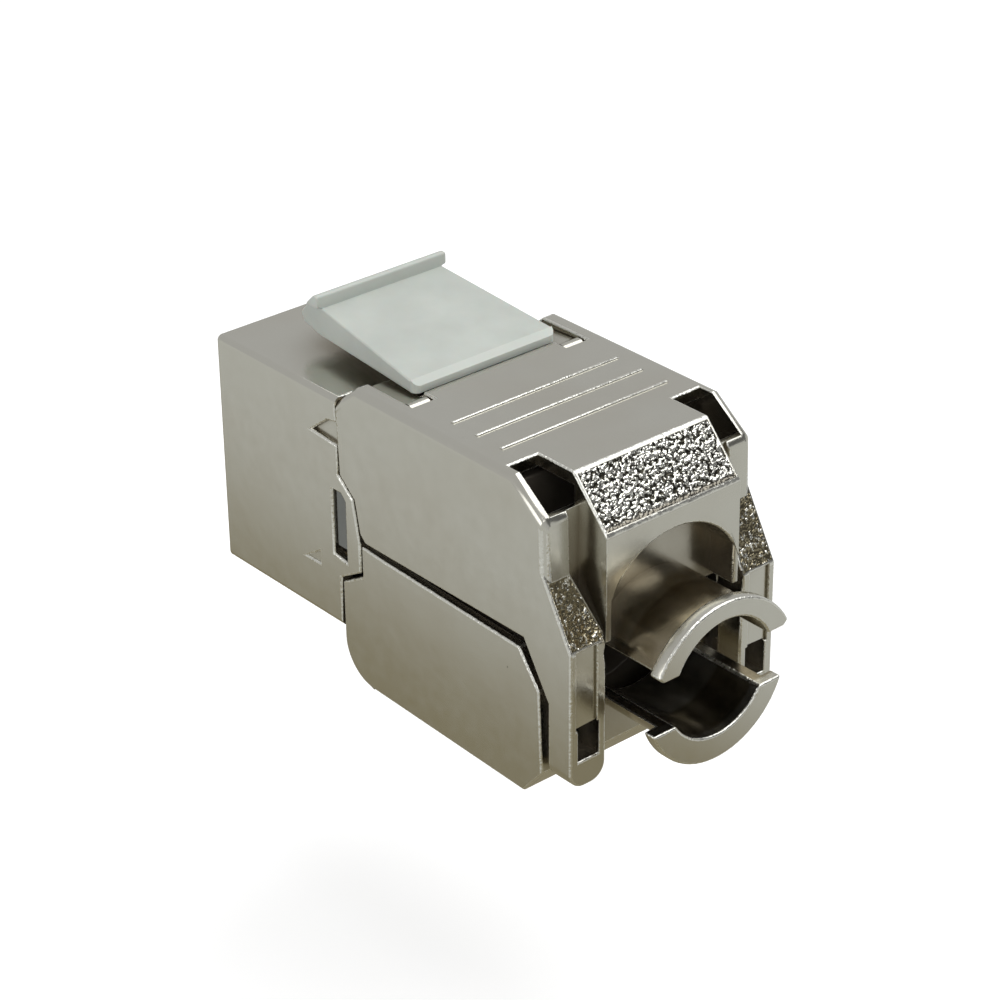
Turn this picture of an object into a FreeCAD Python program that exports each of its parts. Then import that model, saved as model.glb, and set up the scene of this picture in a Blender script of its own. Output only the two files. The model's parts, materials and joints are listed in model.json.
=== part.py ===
"""Shielded tool-free keystone jack: a die-cast front housing that takes the plug,
and two cast half shells that hinge on its rear and close over the cable like a jaw.

Millimetres. X runs across the jack, +Y from the plug face to the cable, +Z up.
The origin is the centre of the plug opening, in the plane of the plug face.
"""
import FreeCAD, Part
import os
import re
import Sketcher

SIZES = [
    # plug opening of eight-way modular form
    ("port_width", 11.9), ("port_height", 6.9), ("key_width", 6.3), ("key_drop", 1.5),
    ("slot_width", 4.0), ("slot_drop", 0.8), ("port_back_wall", 0.8),
    # front housing casting
    ("port_side", 1.35), ("port_rim", 2.475), ("housing_depth", 10.7),
    ("housing_wall", 0.85), ("face_wall", 1.2), ("edge_round", 0.35), ("overrun", 1.0),
    ("tab_top", 2.455), ("tab_slope", 1.06), ("tab_shoulder", 1.23), ("tab_reach", 1.75),
    ("tab_waist", -1.165), ("tab_foot", -2.955), ("tab_base", -3.965), ("tab_root", 1.3),
    ("window_lead", 0.55), ("window_length", 1.1), ("window_top", 1.375), ("window_tall", 4.2),
    ("window_bevel", 0.35), ("relief_depth", 0.3), ("relief_reach", 2.2),
    ("relief_drop", 2.675), ("relief_rise", 1.1), ("relief_flare", 0.15),
    ("low_relief_lead", 1.9), ("low_relief_reach", 1.15), ("low_relief_floor", -3.85),
    ("low_relief_rise", 0.75), ("low_relief_depth", 0.14),
    ("lug_front", 4.4), ("lug_length", 1.5), ("lug_drop", 1.3), ("panel_slot", 2.2),
    ("stop_length", 1.2), ("lug_margin", 3.1),
    # hinges
    ("upper_pin_back", 4.7), ("upper_pin_rise", 0.5), ("upper_pin_radius", 0.28),
    ("upper_ear_radius", 0.5), ("ear_margin", 1.25), ("ear_thick", 1.3), ("ear_top", 0.8),
    ("ear_fall", 0.15),
    ("lower_pin_back", 2.6), ("lower_pin_drop", 0.5), ("lower_pin_radius", 0.45),
    ("lower_ear_radius", 0.95), ("lower_ear_margin", 0.8), ("lower_ear_thick", 1.3),
    ("lower_ear_lift", 0.2),
    ("lower_swing_radius", 2.45), ("pin_socket", 0.3), ("pin_clearance", 0.04),
    ("pin_fit", 0.01), ("socket_depth_play", 0.02), ("hinge_block_back", 3.8),
    ("hinge_block_rise", 0.6), ("hinge_block_slope", 1.2), ("bottom_tongue", 2.2),
    # half shells
    ("jaw_length", 17.0), ("shell_wall", 0.6), ("shell_plate", 0.8), ("seam_gap", 0.15),
    ("seam_head_gap", 0.04), ("shell_rise", 1.1), ("brow_run", 1.4), ("brow_drop", 1.27),
    ("split_level", -0.925), ("split_gap", 0.38), ("split_gap_front", 0.27),
    ("split_gap_rear", 0.7), ("split_run", 1.8), ("split_ease", 0.35),
    ("corner_run", 0.45), ("corner_rise", 0.43),
    ("plate_front_gap", 0.45), ("notch_rear_gap", 0.53), ("ear_side_gap", 0.1),
    ("rear_bevel_run", 2.6), ("rear_bevel_drop", 1.82), ("rear_edge", 0.1),
    ("leg_face_low", 2.975), ("leg_slope_run", 1.7), ("leg_slope_low", -0.075),
    ("leg_edge_drop", 0.35), ("leg_back", 1.9), ("leg_front_gap", 0.15), ("leg_drop", 1.55),
    ("leg_width", 2.45), ("leg_elbow", -4.025), ("leg_elbow_run", 0.25), ("leg_round", 1.0),
    ("leg_step", 0.4), ("leg_head_width", 1.7), ("rear_recess", 0.4), ("shell_round", 0.5), ("leg_edge", 0.3),
    ("catch_width", 1.45), ("catch_inset", 0.55), ("catch_tall", 2.0), ("catch_low", 1.6),
    ("groove_depth", 0.18), ("groove_width", 1.43), ("groove_inset", 0.42),
    ("groove_overlap", 0.1),
    ("rib_back", 8.05), ("rib_pitch", 1.93), ("rib_width", 0.22), ("rib_height", 0.1),
    ("rib_margin", 1.5), ("rib_count", 3), ("well_length", 3.5), ("well_drop", 1.7),
    ("nose_gap", 0.15), ("nose_bevel_run", 2.5), ("nose_bevel_drop", 2.73),
    ("nose_setback", 0.8), ("nose_bottom", -0.775), ("arch_radius", 4.96), ("arch_level", -0.73),
    ("cheek", 0.35), ("cheek_top", 2.6), ("nose_lip", 0.05),
    ("lower_rear_gap", 0.35), ("lower_rear_lean", 0.2), ("lower_bevel_run", 1.55),
    ("lower_bevel_drop", 2.075), ("lower_tail_run", 1.45), ("lower_keel_sag", 0.35),
    ("lower_tail_rise", 1.725), ("lower_plate_lead", 0.3),
    ("nub_reach", 0.34), ("nub_width", 1.1), ("nub_tall", 0.9), ("nub_drop", 0.5),
    ("nub_root", 0.4), ("nub_top_slope", 0.2),
    # cable collar, half on each shell
    ("cable_level", -3.025), ("collar_bore", 3.5), ("collar_wall", 0.7),
    ("upper_collar_edge", -1.55), ("lower_collar_edge", -4.825), ("collar_root", 0.2),
    ("upper_collar_length", 5.6), ("lower_collar_length", 5.25), ("flange_thick", 0.8),
    ("upper_flange_radius", 5.2), ("upper_flange_level", -3.675), ("flange_ease", 0.92),
    ("lower_flange_radius", 4.9), ("lower_flange_level", -3.125),
    # panel latch
    ("latch_rise", 0.95), ("latch_front_y", 4.0), ("latch_nose_rise", 0.43),
    ("latch_nose_tall", 0.56), ("latch_nose_lean", 0.15), ("latch_lip_run", 1.5),
    ("latch_lip_top", 2.5), ("latch_lip_length", 0.38), ("latch_step_top", 1.73),
    ("latch_rear_back", 0.25), ("latch_rear_top", 0.72), ("latch_rear_low", 0.43),
    ("latch_ease", 0.4), ("latch_under_run", 1.7),
    ("latch_lip_half", 4.6), ("latch_front_half", 4.33), ("latch_rear_half", 5.0),
    ("latch_corner", 0.4), ("latch_foot_width", 6.8), ("latch_foot_lead", 1.9),
    ("latch_foot_length", 1.5), ("latch_foot_drop", 0.75), ("latch_foot_play", 0.15),
    # plug insert, spring contacts, board and blades
    ("insert_play", 0.1), ("insert_back", 1.3), ("insert_neck_lead", 0.9), ("insert_neck", 0.4),
    ("contact_count", 8), ("contact_pitch", 1.016), ("contact_width", 0.36),
    ("contact_thick", 0.3), ("contact_drop", 1.975), ("contact_bend_y", 4.1),
    ("contact_tip_lead", 1.0), ("contact_tip_level", 2.1), ("contact_knee", 0.45),
    ("contact_slot", 0.62), ("contact_slot_front", 3.2), ("contact_slot_end", 0.6),
    ("board_gap", 0.05), ("board_thick", 1.0), ("board_inset", 1.3), ("board_play", 0.2),
    ("hole_play", 0.06),
    ("block_depth", 4.5), ("row_count", 4), ("row_pitch", 2.87), ("upper_row_drop", 3.175),
    ("lower_row_lift", 2.775), ("blade_width", 1.9), ("blade_thick", 0.4), ("blade_fork", 0.36),
    ("blade_fork_depth", 2.0), ("blade_reach", 1.8), ("blade_tail", 0.8), ("blade_bevel", 0.45),
    ("blade_seat", 0.02),
    ("clip_thick", 0.32), ("clip_tall", 3.5), ("clip_level", -0.45), ("clip_hook", 0.7),
    ("clip_hook_length", 1.0), ("clip_play", 0.05), ("clip_root_front", 0.3),
    ("clip_root_rear", 1.8), ("spring_thick", 0.2), ("spring_tall", 3.2),
    ("spring_length", 7.4), ("spring_bow", 0.45), ("spring_level", 1.2), ("spring_play", 0.05),
    # wire manager
    ("manager_length", 6.35), ("manager_play", 0.4), ("manager_top_play", 0.5),
    ("manager_floor_play", 0.65), ("manager_bore", 4.2), ("manager_bore_depth", 3.6),
    ("passage_radius", 2.2), ("passage_level", -0.2), ("channel_width", 1.2),
    ("channel_depth", 1.5), ("link_tall", 1.4), ("blade_room", 0.15), ("blade_end_room", 0.4),
]

# places worked out from the sizes, as expressions
PLACES = {
    "housing_width": "port_width + 2 * port_side",
    "port_tall": "port_height + key_drop + slot_drop",
    "housing_height": "port_tall + 2 * port_rim",
    "side": "housing_width / 2",
    "half_height": "housing_height / 2",
    "inner_side": "side - housing_wall",
    "inner_half": "half_height - housing_wall",
    "insert_side": "inner_side - insert_play",
    "insert_half": "inner_half - insert_play",
    "window_front": "housing_depth - window_lead",
    "low_relief_end": "housing_depth - low_relief_lead",
    "relief_floor": "half_height - relief_drop",
    "lug_half": "side - lug_margin",
    "upper_pin_y": "housing_depth + upper_pin_back",
    "upper_axis": "half_height + upper_pin_rise",
    "lower_pin_y": "housing_depth + lower_pin_back",
    "lower_axis": "-half_height - lower_pin_drop",
    "ear_outer": "side - ear_margin",
    "ear_inner": "ear_outer - ear_thick",
    "lower_ear_outer": "side - lower_ear_margin",
    "lower_ear_inner": "lower_ear_outer - lower_ear_thick",
    "hinge_block_rear": "housing_depth + hinge_block_back",
    "block_top": "half_height + hinge_block_rise",
    "shell_inside": "side - shell_wall",
    "strip_inner": "ear_outer + ear_side_gap",
    "leg_head_inner": "side - leg_head_width",
    "shell_front": "housing_depth + seam_gap",
    "shell_top": "half_height + shell_rise",
    "shell_under": "shell_top - shell_plate",
    "rear_wall_y": "housing_depth + jaw_length",
    "rear_wall_inside": "rear_wall_y - shell_plate",
    "rear_bevel_y": "rear_wall_y - rear_bevel_run",
    "rear_bevel_low": "shell_top - rear_bevel_drop",
    "leg_slope_y": "rear_wall_y + leg_slope_run",
    "leg_rear_y": "rear_wall_y + leg_back",
    "leg_front_y": "rear_wall_y + leg_front_gap",
    "leg_bottom": "-half_height - leg_drop",
    "leg_inner": "side - leg_width",
    "catch_bottom": "leg_bottom + catch_low",
    "catch_top": "catch_bottom + catch_tall",
    "rib_first_y": "housing_depth + rib_back",
    "rib_half": "side - rib_margin",
    "well_front_y": "rear_wall_y - well_length",
    "well_ledge": "shell_top - well_drop",
    "nose_half_width": "leg_inner - nose_gap",
    "nose_top_y": "rear_wall_y - nose_setback",
    "lower_rear_y": "rear_wall_y - lower_rear_gap",
    "lower_rear_top": "lower_rear_y - lower_rear_lean",
    "lower_rear_inside": "lower_rear_top - shell_plate",
    "lower_keel": "lower_axis - lower_swing_radius",
    "lower_keel_y": "lower_rear_y - lower_tail_run",
    "lower_floor": "lower_keel + shell_plate",
    "lower_front": "lower_pin_y - lower_swing_radius",
    "lower_split": "split_level - split_gap_rear",
    "upper_flange_y": "rear_wall_y + upper_collar_length",
    "lower_flange_y": "rear_wall_y + lower_collar_length",
    "collar_outside": "collar_bore + collar_wall",
    "latch_base": "half_height + latch_rise",
    "latch_rear_y": "hinge_block_rear + latch_rear_back",
    "latch_lip_y": "latch_front_y + latch_lip_run",
    "latch_step_y": "latch_lip_y + latch_lip_length",
    "latch_foot_front": "hinge_block_rear - latch_foot_lead",
    "insert_depth": "housing_depth + insert_back",
    "port_depth": "insert_depth - port_back_wall",
    "insert_neck_y": "housing_depth - insert_neck_lead",
    "contact_level": "half_height - contact_drop",
    "contact_top": "contact_level + contact_thick / 2",
    "contact_under": "contact_level - contact_thick / 2",
    "contact_tip_y": "port_depth - contact_tip_lead",
    "board_front": "insert_depth + board_gap",
    "board_rear": "board_front + board_thick",
    "board_side": "side - board_inset",
    "board_half": "inner_half - board_play",
    "block_front": "board_rear + board_gap",
    "block_rear": "block_front + block_depth",
    "upper_row": "half_height - upper_row_drop",
    "lower_row": "-half_height + lower_row_lift",
    "manager_front": "block_rear + board_gap",
    "manager_rear": "manager_front + manager_length",
    "manager_side": "shell_inside - manager_play",
    "manager_roof": "shell_under - manager_top_play",
    "manager_floor": "lower_floor + manager_floor_play",
}

doc = FreeCAD.newDocument("keystone_jack")
sheet = doc.addObject("Spreadsheet::Sheet", "Dims")
for row, (alias, number) in enumerate(SIZES, start=1):
    sheet.set("A%d" % row, alias)
    sheet.set("B%d" % row, str(number))
    sheet.setAlias("B%d" % row, alias)
doc.recompute()

PIECES = []
AXES = {"YZ_Plane": 1, "XY_Plane": 1, "XZ_Plane": -1}
NEAR = 1e-4


def bound(text):
    """Turn words such as housing_depth / 2 into an expression on the sheet."""
    def word(found):
        name = found.group(0)
        return "(%s)" % bound(PLACES[name]) if name in PLACES else "Dims." + name
    return re.sub(r"[a-z][a-z_]+", word, text)


def number(text):
    """The present value of such an expression, for first placing and for tests."""
    return float(sheet.evalExpression(bound(text)))


def new_piece(label):
    """A PartDesign body whose label names the piece."""
    body = doc.addObject("PartDesign::Body", label)
    body.Label = label
    PIECES.append(body)
    return body


def bind_point(sketch, index, corner, across, up):
    """Hold one sketch point at the place that two expressions give."""
    for kind, text in (("DistanceX", across), ("DistanceY", up)):
        place = sketch.addConstraint(
            Sketcher.Constraint(kind, -1, 1, index, corner, number(text)))
        sketch.setExpression("Constraints[%d]" % place, bound(text))


def add_polygon(sketch, corners):
    """A closed outline of straight sides through the given corners."""
    first = sketch.GeometryCount
    count = len(corners)
    points = [FreeCAD.Vector(number(a), number(b), 0) for a, b in corners]
    for step in range(count):
        line = Part.LineSegment(points[step], points[(step + 1) % count])
        sketch.addGeometry(line, False)
    for step in range(count):
        following = first + (step + 1) % count
        sketch.addConstraint(
            Sketcher.Constraint("Coincident", first + step, 2, following, 1))
    for step, (across, up) in enumerate(corners):
        bind_point(sketch, first + step, 1, across, up)


def add_circle(sketch, across, up, radius):
    """A full circle held by its centre and radius."""
    centre = FreeCAD.Vector(number(across), number(up), 0)
    index = sketch.addGeometry(Part.Circle(centre, FreeCAD.Vector(0, 0, 1), number(radius)), False)
    bind_point(sketch, index, 3, across, up)
    place = sketch.addConstraint(Sketcher.Constraint("Radius", index, number(radius)))
    sketch.setExpression("Constraints[%d]" % place, bound(radius))


def extrude(body, plane, low, high, *loops, cut=False):
    """Pad or pocket the loops between two levels along the plane's row axis.

    A loop is a list of (across, up) corners, or a (across, up, radius) circle.
    """
    sketch = body.newObject("Sketcher::SketchObject", body.Label + "_outline")
    origin_plane = [f for f in body.Origin.OriginFeatures if f.Role == plane][0]
    sketch.AttachmentSupport = [(origin_plane, "")]
    sketch.MapMode = "FlatFace"
    start = low if AXES[plane] > 0 else "-(%s)" % high
    sketch.setExpression(".AttachmentOffset.Base.z", bound(start))
    for loop in loops:
        if isinstance(loop, tuple):
            add_circle(sketch, *loop)
        else:
            add_polygon(sketch, loop)
    kind = "Pocket" if cut else "Pad"
    feature = body.newObject("PartDesign::" + kind, body.Label + "_" + kind.lower())
    feature.Profile = sketch
    feature.setExpression("Length", bound("(%s) - (%s)" % (high, low)))
    if cut:
        feature.Reversed = True
    body.Tip = feature
    return feature


def box(across_low, across_high, up_low, up_high):
    """Rectangle loop for extrude."""
    return [(across_low, up_low), (across_high, up_low), (across_high, up_high), (across_low, up_high)]


def both_sides(body, inner, outer, loop, cut=False):
    """The same side outline on the left and on the right of the middle plane."""
    extrude(body, "YZ_Plane", inner, outer, loop, cut=cut)
    extrude(body, "YZ_Plane", "-(%s)" % outer, "-(%s)" % inner, loop, cut=cut)


def treat_edges(body, kind, size, wanted):
    """Fillet or chamfer the present edges that the test accepts."""
    doc.recompute()
    tip = body.Tip
    names = ["Edge%d" % (place + 1) for place, edge in enumerate(tip.Shape.Edges) if wanted(edge)]
    feature = body.newObject("PartDesign::" + kind, body.Label + "_" + kind.lower())
    feature.Base = (tip, names)
    feature.setExpression("Radius" if kind == "Fillet" else "Size", bound(size))
    body.Tip = feature
    return feature


def runs_along(edge, axis):
    """True for a straight edge parallel to the axis numbered 0, 1 or 2."""
    if edge.Curve.TypeId != "Part::GeomLine":
        return False
    return abs(abs(edge.Curve.Direction[axis]) - 1) < NEAR ** 2


def near(value, text):
    """True where a measured place is the one that the expression gives."""
    return abs(value - number(text)) < NEAR


def front_housing():
    """Cast box round the plug insert, with side tabs, hinge ears and panel lugs."""
    body = new_piece("front_housing")
    extrude(body, "XZ_Plane", "0", "housing_depth",
            box("-side", "side", "-half_height", "half_height"))
    treat_edges(body, "Fillet", "edge_round", lambda edge: runs_along(edge, 1))
    treat_edges(body, "Fillet", "edge_round / 2", lambda edge: edge.CenterOfMass.y < NEAR)
    # side tabs that reach between the two shells
    tab = [("housing_depth - tab_root", "tab_base"), ("housing_depth", "tab_base"),
           ("housing_depth + tab_reach", "tab_foot"), ("housing_depth + tab_reach", "tab_waist"),
           ("housing_depth + tab_shoulder", "tab_top - tab_slope"),
           ("housing_depth", "tab_top"), ("housing_depth - tab_root", "tab_top")]
    both_sides(body, "inner_side", "side", tab)
    # upper hinge block with one ear at each side, lower tongue with its ears
    extrude(body, "YZ_Plane", "-ear_outer", "ear_outer",
            [("housing_depth - tab_root", "inner_half"), ("hinge_block_rear", "inner_half"),
             ("hinge_block_rear", "block_top"), ("housing_depth + hinge_block_slope", "block_top"),
             ("housing_depth + hinge_block_slope / 2", "half_height"),
             ("housing_depth - tab_root", "half_height")])
    ear = [("housing_depth + hinge_block_slope", "half_height"),
           ("upper_pin_y", "upper_axis - upper_ear_radius"),
           ("upper_pin_y", "half_height + ear_top"),
           ("upper_pin_y - upper_ear_radius", "half_height + ear_top"),
           ("housing_depth + hinge_block_slope", "half_height + ear_top - ear_fall")]
    both_sides(body, "ear_inner", "ear_outer", ear)
    both_sides(body, "ear_inner", "ear_outer", ("upper_pin_y", "upper_axis", "upper_ear_radius"))
    extrude(body, "YZ_Plane", "-lower_ear_outer", "lower_ear_outer",
            box("housing_depth - tab_root", "housing_depth + bottom_tongue",
                "-half_height", "-(inner_half)"))
    both_sides(body, "lower_ear_inner", "lower_ear_outer",
               box("housing_depth - tab_root", "lower_pin_y",
                   "lower_axis + lower_ear_lift", "-(inner_half)"))
    both_sides(body, "lower_ear_inner", "lower_ear_outer",
               ("lower_pin_y", "lower_axis", "lower_ear_radius"))
    # panel lug and its stop under the front
    for start, length in (("lug_front", "lug_length"),
                          ("(lug_front + lug_length + panel_slot)", "stop_length")):
        extrude(body, "YZ_Plane", "-(lug_half)", "lug_half",
                [(start, "housing_wall / 2 - half_height"),
                 (start, "-half_height - lug_drop / 3"),
                 (start + " + %s / 3" % length, "-half_height - lug_drop"),
                 (start + " + " + length, "-half_height - lug_drop"),
                 (start + " + " + length, "housing_wall / 2 - half_height")])
    # room for the insert, and the opening in the face
    extrude(body, "XZ_Plane", "face_wall", "upper_pin_y",
            box("-(inner_side)", "inner_side", "-(inner_half)", "inner_half"), cut=True)
    extrude(body, "XZ_Plane", "-overrun", "face_wall + overrun", port_outline(), cut=True)
    # windows in the tabs and the cast reliefs in front of them
    both_sides(body, "inner_side - overrun", "side + overrun",
               [("window_front", "window_top - window_tall + window_bevel / 2"),
                ("window_front + window_length", "window_top - window_tall"),
                ("window_front + window_length", "window_top - window_bevel"),
                ("window_front + window_length - window_bevel", "window_top"),
                ("window_front", "window_top")], cut=True)
    relief = [("housing_depth - relief_reach", "relief_floor"),
              ("housing_depth + relief_flare", "relief_floor - relief_flare"),
              ("housing_depth + relief_flare", "relief_floor + relief_rise + relief_flare"),
              ("housing_depth - relief_reach / 3", "relief_floor + relief_rise")]
    low_relief = [("low_relief_end - low_relief_reach", "low_relief_floor"),
                  ("low_relief_end", "low_relief_floor"),
                  ("low_relief_end", "low_relief_floor + low_relief_rise")]
    for outline, depth in ((relief, "relief_depth"), (low_relief, "low_relief_depth")):
        both_sides(body, "side - " + depth, "side + overrun", outline, cut=True)
    # seat for the latch's foot, and the pin bores
    extrude(body, "XY_Plane", "half_height - latch_foot_drop", "block_top + overrun",
            box("-latch_foot_width / 2 - latch_foot_play", "latch_foot_width / 2 + latch_foot_play",
                "latch_foot_front - latch_foot_play",
                "latch_foot_front + latch_foot_length + latch_foot_play"), cut=True)
    both_sides(body, "ear_inner - pin_socket", "ear_outer + pin_socket",
               ("upper_pin_y", "upper_axis", "upper_pin_radius + pin_fit"), cut=True)
    both_sides(body, "lower_ear_inner - pin_socket", "lower_ear_outer + pin_socket",
               ("lower_pin_y", "lower_axis", "lower_pin_radius + pin_fit"), cut=True)


def port_outline():
    """Plug opening with its two-stepped key slot."""
    right = [("port_width / 2", "port_tall / 2"),
             ("port_width / 2", "port_tall / 2 - port_height"),
             ("key_width / 2", "port_tall / 2 - port_height"),
             ("key_width / 2", "port_tall / 2 - port_height - key_drop"),
             ("slot_width / 2", "port_tall / 2 - port_height - key_drop"),
             ("slot_width / 2", "-port_tall / 2")]
    left = [("-" + across, up) for across, up in reversed(right)]
    return right + left


def upper_shell():
    """Upper jaw: plate, side walls, nose with its arch, two catch legs, half collar."""
    body = new_piece("upper_shell")
    tab_end = "shell_front + tab_reach - corner_run / 4"
    extrude(body, "YZ_Plane", "-side", "side",
            [("shell_front", "tab_top + seam_gap / 2"),
             ("housing_depth + seam_head_gap", "shell_top - brow_drop"),
             ("shell_front + brow_run", "shell_top"), ("rear_bevel_y", "shell_top"),
             ("rear_wall_y - rear_edge", "rear_bevel_low"), ("rear_wall_y", "leg_face_low"),
             ("leg_slope_y", "leg_slope_low"), ("leg_rear_y", "leg_slope_low - leg_edge_drop"),
             ("leg_rear_y", "leg_bottom"), ("leg_front_y", "leg_bottom"),
             ("leg_front_y", "leg_elbow"), ("leg_front_y - leg_elbow_run", "leg_elbow + leg_step"),
             ("lower_rear_top - lower_bevel_run + split_ease", "split_level"),
             (tab_end + " + corner_run", "split_level"),
             (tab_end, "split_level + corner_rise"),
             ("shell_front + tab_shoulder", "tab_top - tab_slope + seam_gap / 2")])
    treat_edges(body, "Fillet", "shell_round",
                lambda edge: near(abs(edge.CenterOfMass.x), "side")
                and edge.CenterOfMass.z > number("rear_bevel_low"))
    treat_edges(body, "Chamfer", "leg_edge",
                lambda edge: near(abs(edge.CenterOfMass.x), "side")
                and edge.CenterOfMass.y > number("rear_wall_y - rear_edge")
                and edge.CenterOfMass.z > number("leg_face_low"))
    # hollow the jaw, open its front for the hinge, leave only legs below the rear wall
    extrude(body, "YZ_Plane", "-(shell_inside)", "shell_inside",
            box("housing_depth - overrun", "rear_wall_inside", "leg_bottom - overrun",
                "shell_under"), cut=True)
    extrude(body, "YZ_Plane", "-(strip_inner)", "strip_inner",
            box("housing_depth - overrun", "hinge_block_rear + plate_front_gap",
                "shell_under - overrun", "shell_top + overrun"), cut=True)
    both_sides(body, "ear_inner - ear_side_gap", "strip_inner",
               box("housing_depth - overrun", "upper_pin_y + notch_rear_gap",
                   "shell_under - overrun", "shell_top + overrun"), cut=True)
    extrude(body, "YZ_Plane", "-(leg_inner)", "leg_inner",
            box("rear_wall_y", "leg_rear_y + overrun", "leg_bottom - overrun",
                "shell_top + overrun"), cut=True)
    extrude(body, "YZ_Plane", "-(leg_inner)", "leg_inner",
            box("rear_wall_inside - overrun", "leg_rear_y + overrun", "leg_bottom - overrun",
                "split_level"), cut=True)
    # open wells behind the plate, one at each side of the nose
    both_sides(body, "nose_half_width", "shell_inside",
               [("well_front_y", "shell_under - overrun"),
                ("rear_wall_inside", "shell_under - overrun"),
                ("rear_wall_inside", "well_ledge"), ("leg_rear_y", "well_ledge"),
                ("leg_rear_y", "shell_top + overrun"), ("well_front_y", "shell_top + overrun")],
               cut=True)
    # heads of the legs narrow upwards, and the wall beside the nose stands back
    gaps = [[(turn + "(nose_half_width)", "split_level - overrun"),
             (turn + "(leg_inner)", "split_level - overrun"),
             (turn + "(leg_inner)", "leg_slope_low"), (turn + "(leg_head_inner)", "leg_face_low"),
             (turn + "(leg_head_inner)", "shell_top + overrun"),
             (turn + "(nose_half_width)", "shell_top + overrun")] for turn in ("", "-")]
    extrude(body, "XZ_Plane", "rear_wall_y - rear_recess", "leg_rear_y + overrun", *gaps, cut=True)
    # nose over the cable, with its arch
    extrude(body, "YZ_Plane", "-(nose_half_width)", "nose_half_width",
            [("well_front_y - overrun", "shell_under"), ("rear_wall_inside", "shell_under"),
             ("rear_wall_inside", "nose_bottom"), ("leg_slope_y + nose_lip", "nose_bottom"),
             ("nose_top_y + nose_bevel_run", "shell_top - nose_bevel_drop"),
             ("nose_top_y", "shell_top"), ("well_front_y - overrun", "shell_top")])
    extrude(body, "XZ_Plane", "rear_wall_y", "leg_rear_y + overrun",
            ("0", "arch_level", "arch_radius"), cut=True)
    both_sides(body, "nose_half_width - cheek", "nose_half_width",
               box("rear_wall_y - collar_root", "leg_slope_y", "nose_bottom", "cheek_top"))
    # half collar with its flange
    extrude(body, "XZ_Plane", "rear_wall_y - collar_root", "upper_flange_y",
            ("0", "cable_level", "collar_outside"))
    extrude(body, "XZ_Plane", "upper_flange_y - flange_thick", "upper_flange_y",
            ("0", "upper_flange_level", "upper_flange_radius"))
    extrude(body, "XZ_Plane", "rear_wall_inside - overrun", "upper_flange_y + overrun",
            ("0", "cable_level", "collar_bore"), cut=True)
    extrude(body, "XZ_Plane", "rear_wall_inside - overrun", "upper_flange_y + overrun",
            box("-(leg_inner) + ear_side_gap", "leg_inner - ear_side_gap", "leg_bottom - overrun",
                "upper_collar_edge"), cut=True)
    extrude(body, "XZ_Plane", "leg_rear_y + collar_root", "upper_flange_y + overrun",
            box("-upper_flange_radius - overrun", "upper_flange_radius + overrun",
                "leg_bottom - overrun", "upper_collar_edge"), cut=True)
    ends = [[(turn + "(upper_flange_radius - flange_ease - overrun)", "upper_collar_edge - overrun"),
             (turn + "(upper_flange_radius + overrun)", "upper_collar_edge - overrun"),
             (turn + "(upper_flange_radius + overrun)", "upper_collar_edge + flange_ease + overrun")]
            for turn in ("", "-")]
    extrude(body, "XZ_Plane", "upper_flange_y - flange_thick - overrun", "upper_flange_y + overrun",
            *ends, cut=True)
    # legs: catch windows, grooves, rounded ends
    catch_out = "(side - catch_inset)"
    both_sides(body, catch_out + " - catch_width", catch_out,
               box("leg_front_y - overrun", "leg_rear_y + overrun", "catch_bottom", "catch_top"),
               cut=True)
    groove_out = "(side - groove_inset)"
    both_sides(body, groove_out + " - groove_width", groove_out,
               box("leg_rear_y - groove_depth", "leg_rear_y + overrun",
                   "catch_top - groove_overlap", "leg_slope_low - leg_edge_drop"), cut=True)
    treat_edges(body, "Fillet", "leg_round",
                lambda edge: runs_along(edge, 1) and near(edge.CenterOfMass.z, "leg_bottom"))
    # grip ribs across the plate, and the blind pin bores in the side walls
    for step in range(int(number("rib_count"))):
        middle = "rib_first_y + rib_pitch * %d" % step
        extrude(body, "XY_Plane", "shell_top - rib_height", "shell_top + rib_height",
                box("-(rib_half)", "rib_half", middle + " - rib_width / 2",
                    middle + " + rib_width / 2"))
    both_sides(body, "ear_outer", "shell_inside + pin_socket + socket_depth_play",
               ("upper_pin_y", "upper_axis", "upper_pin_radius + pin_clearance"), cut=True)


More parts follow.
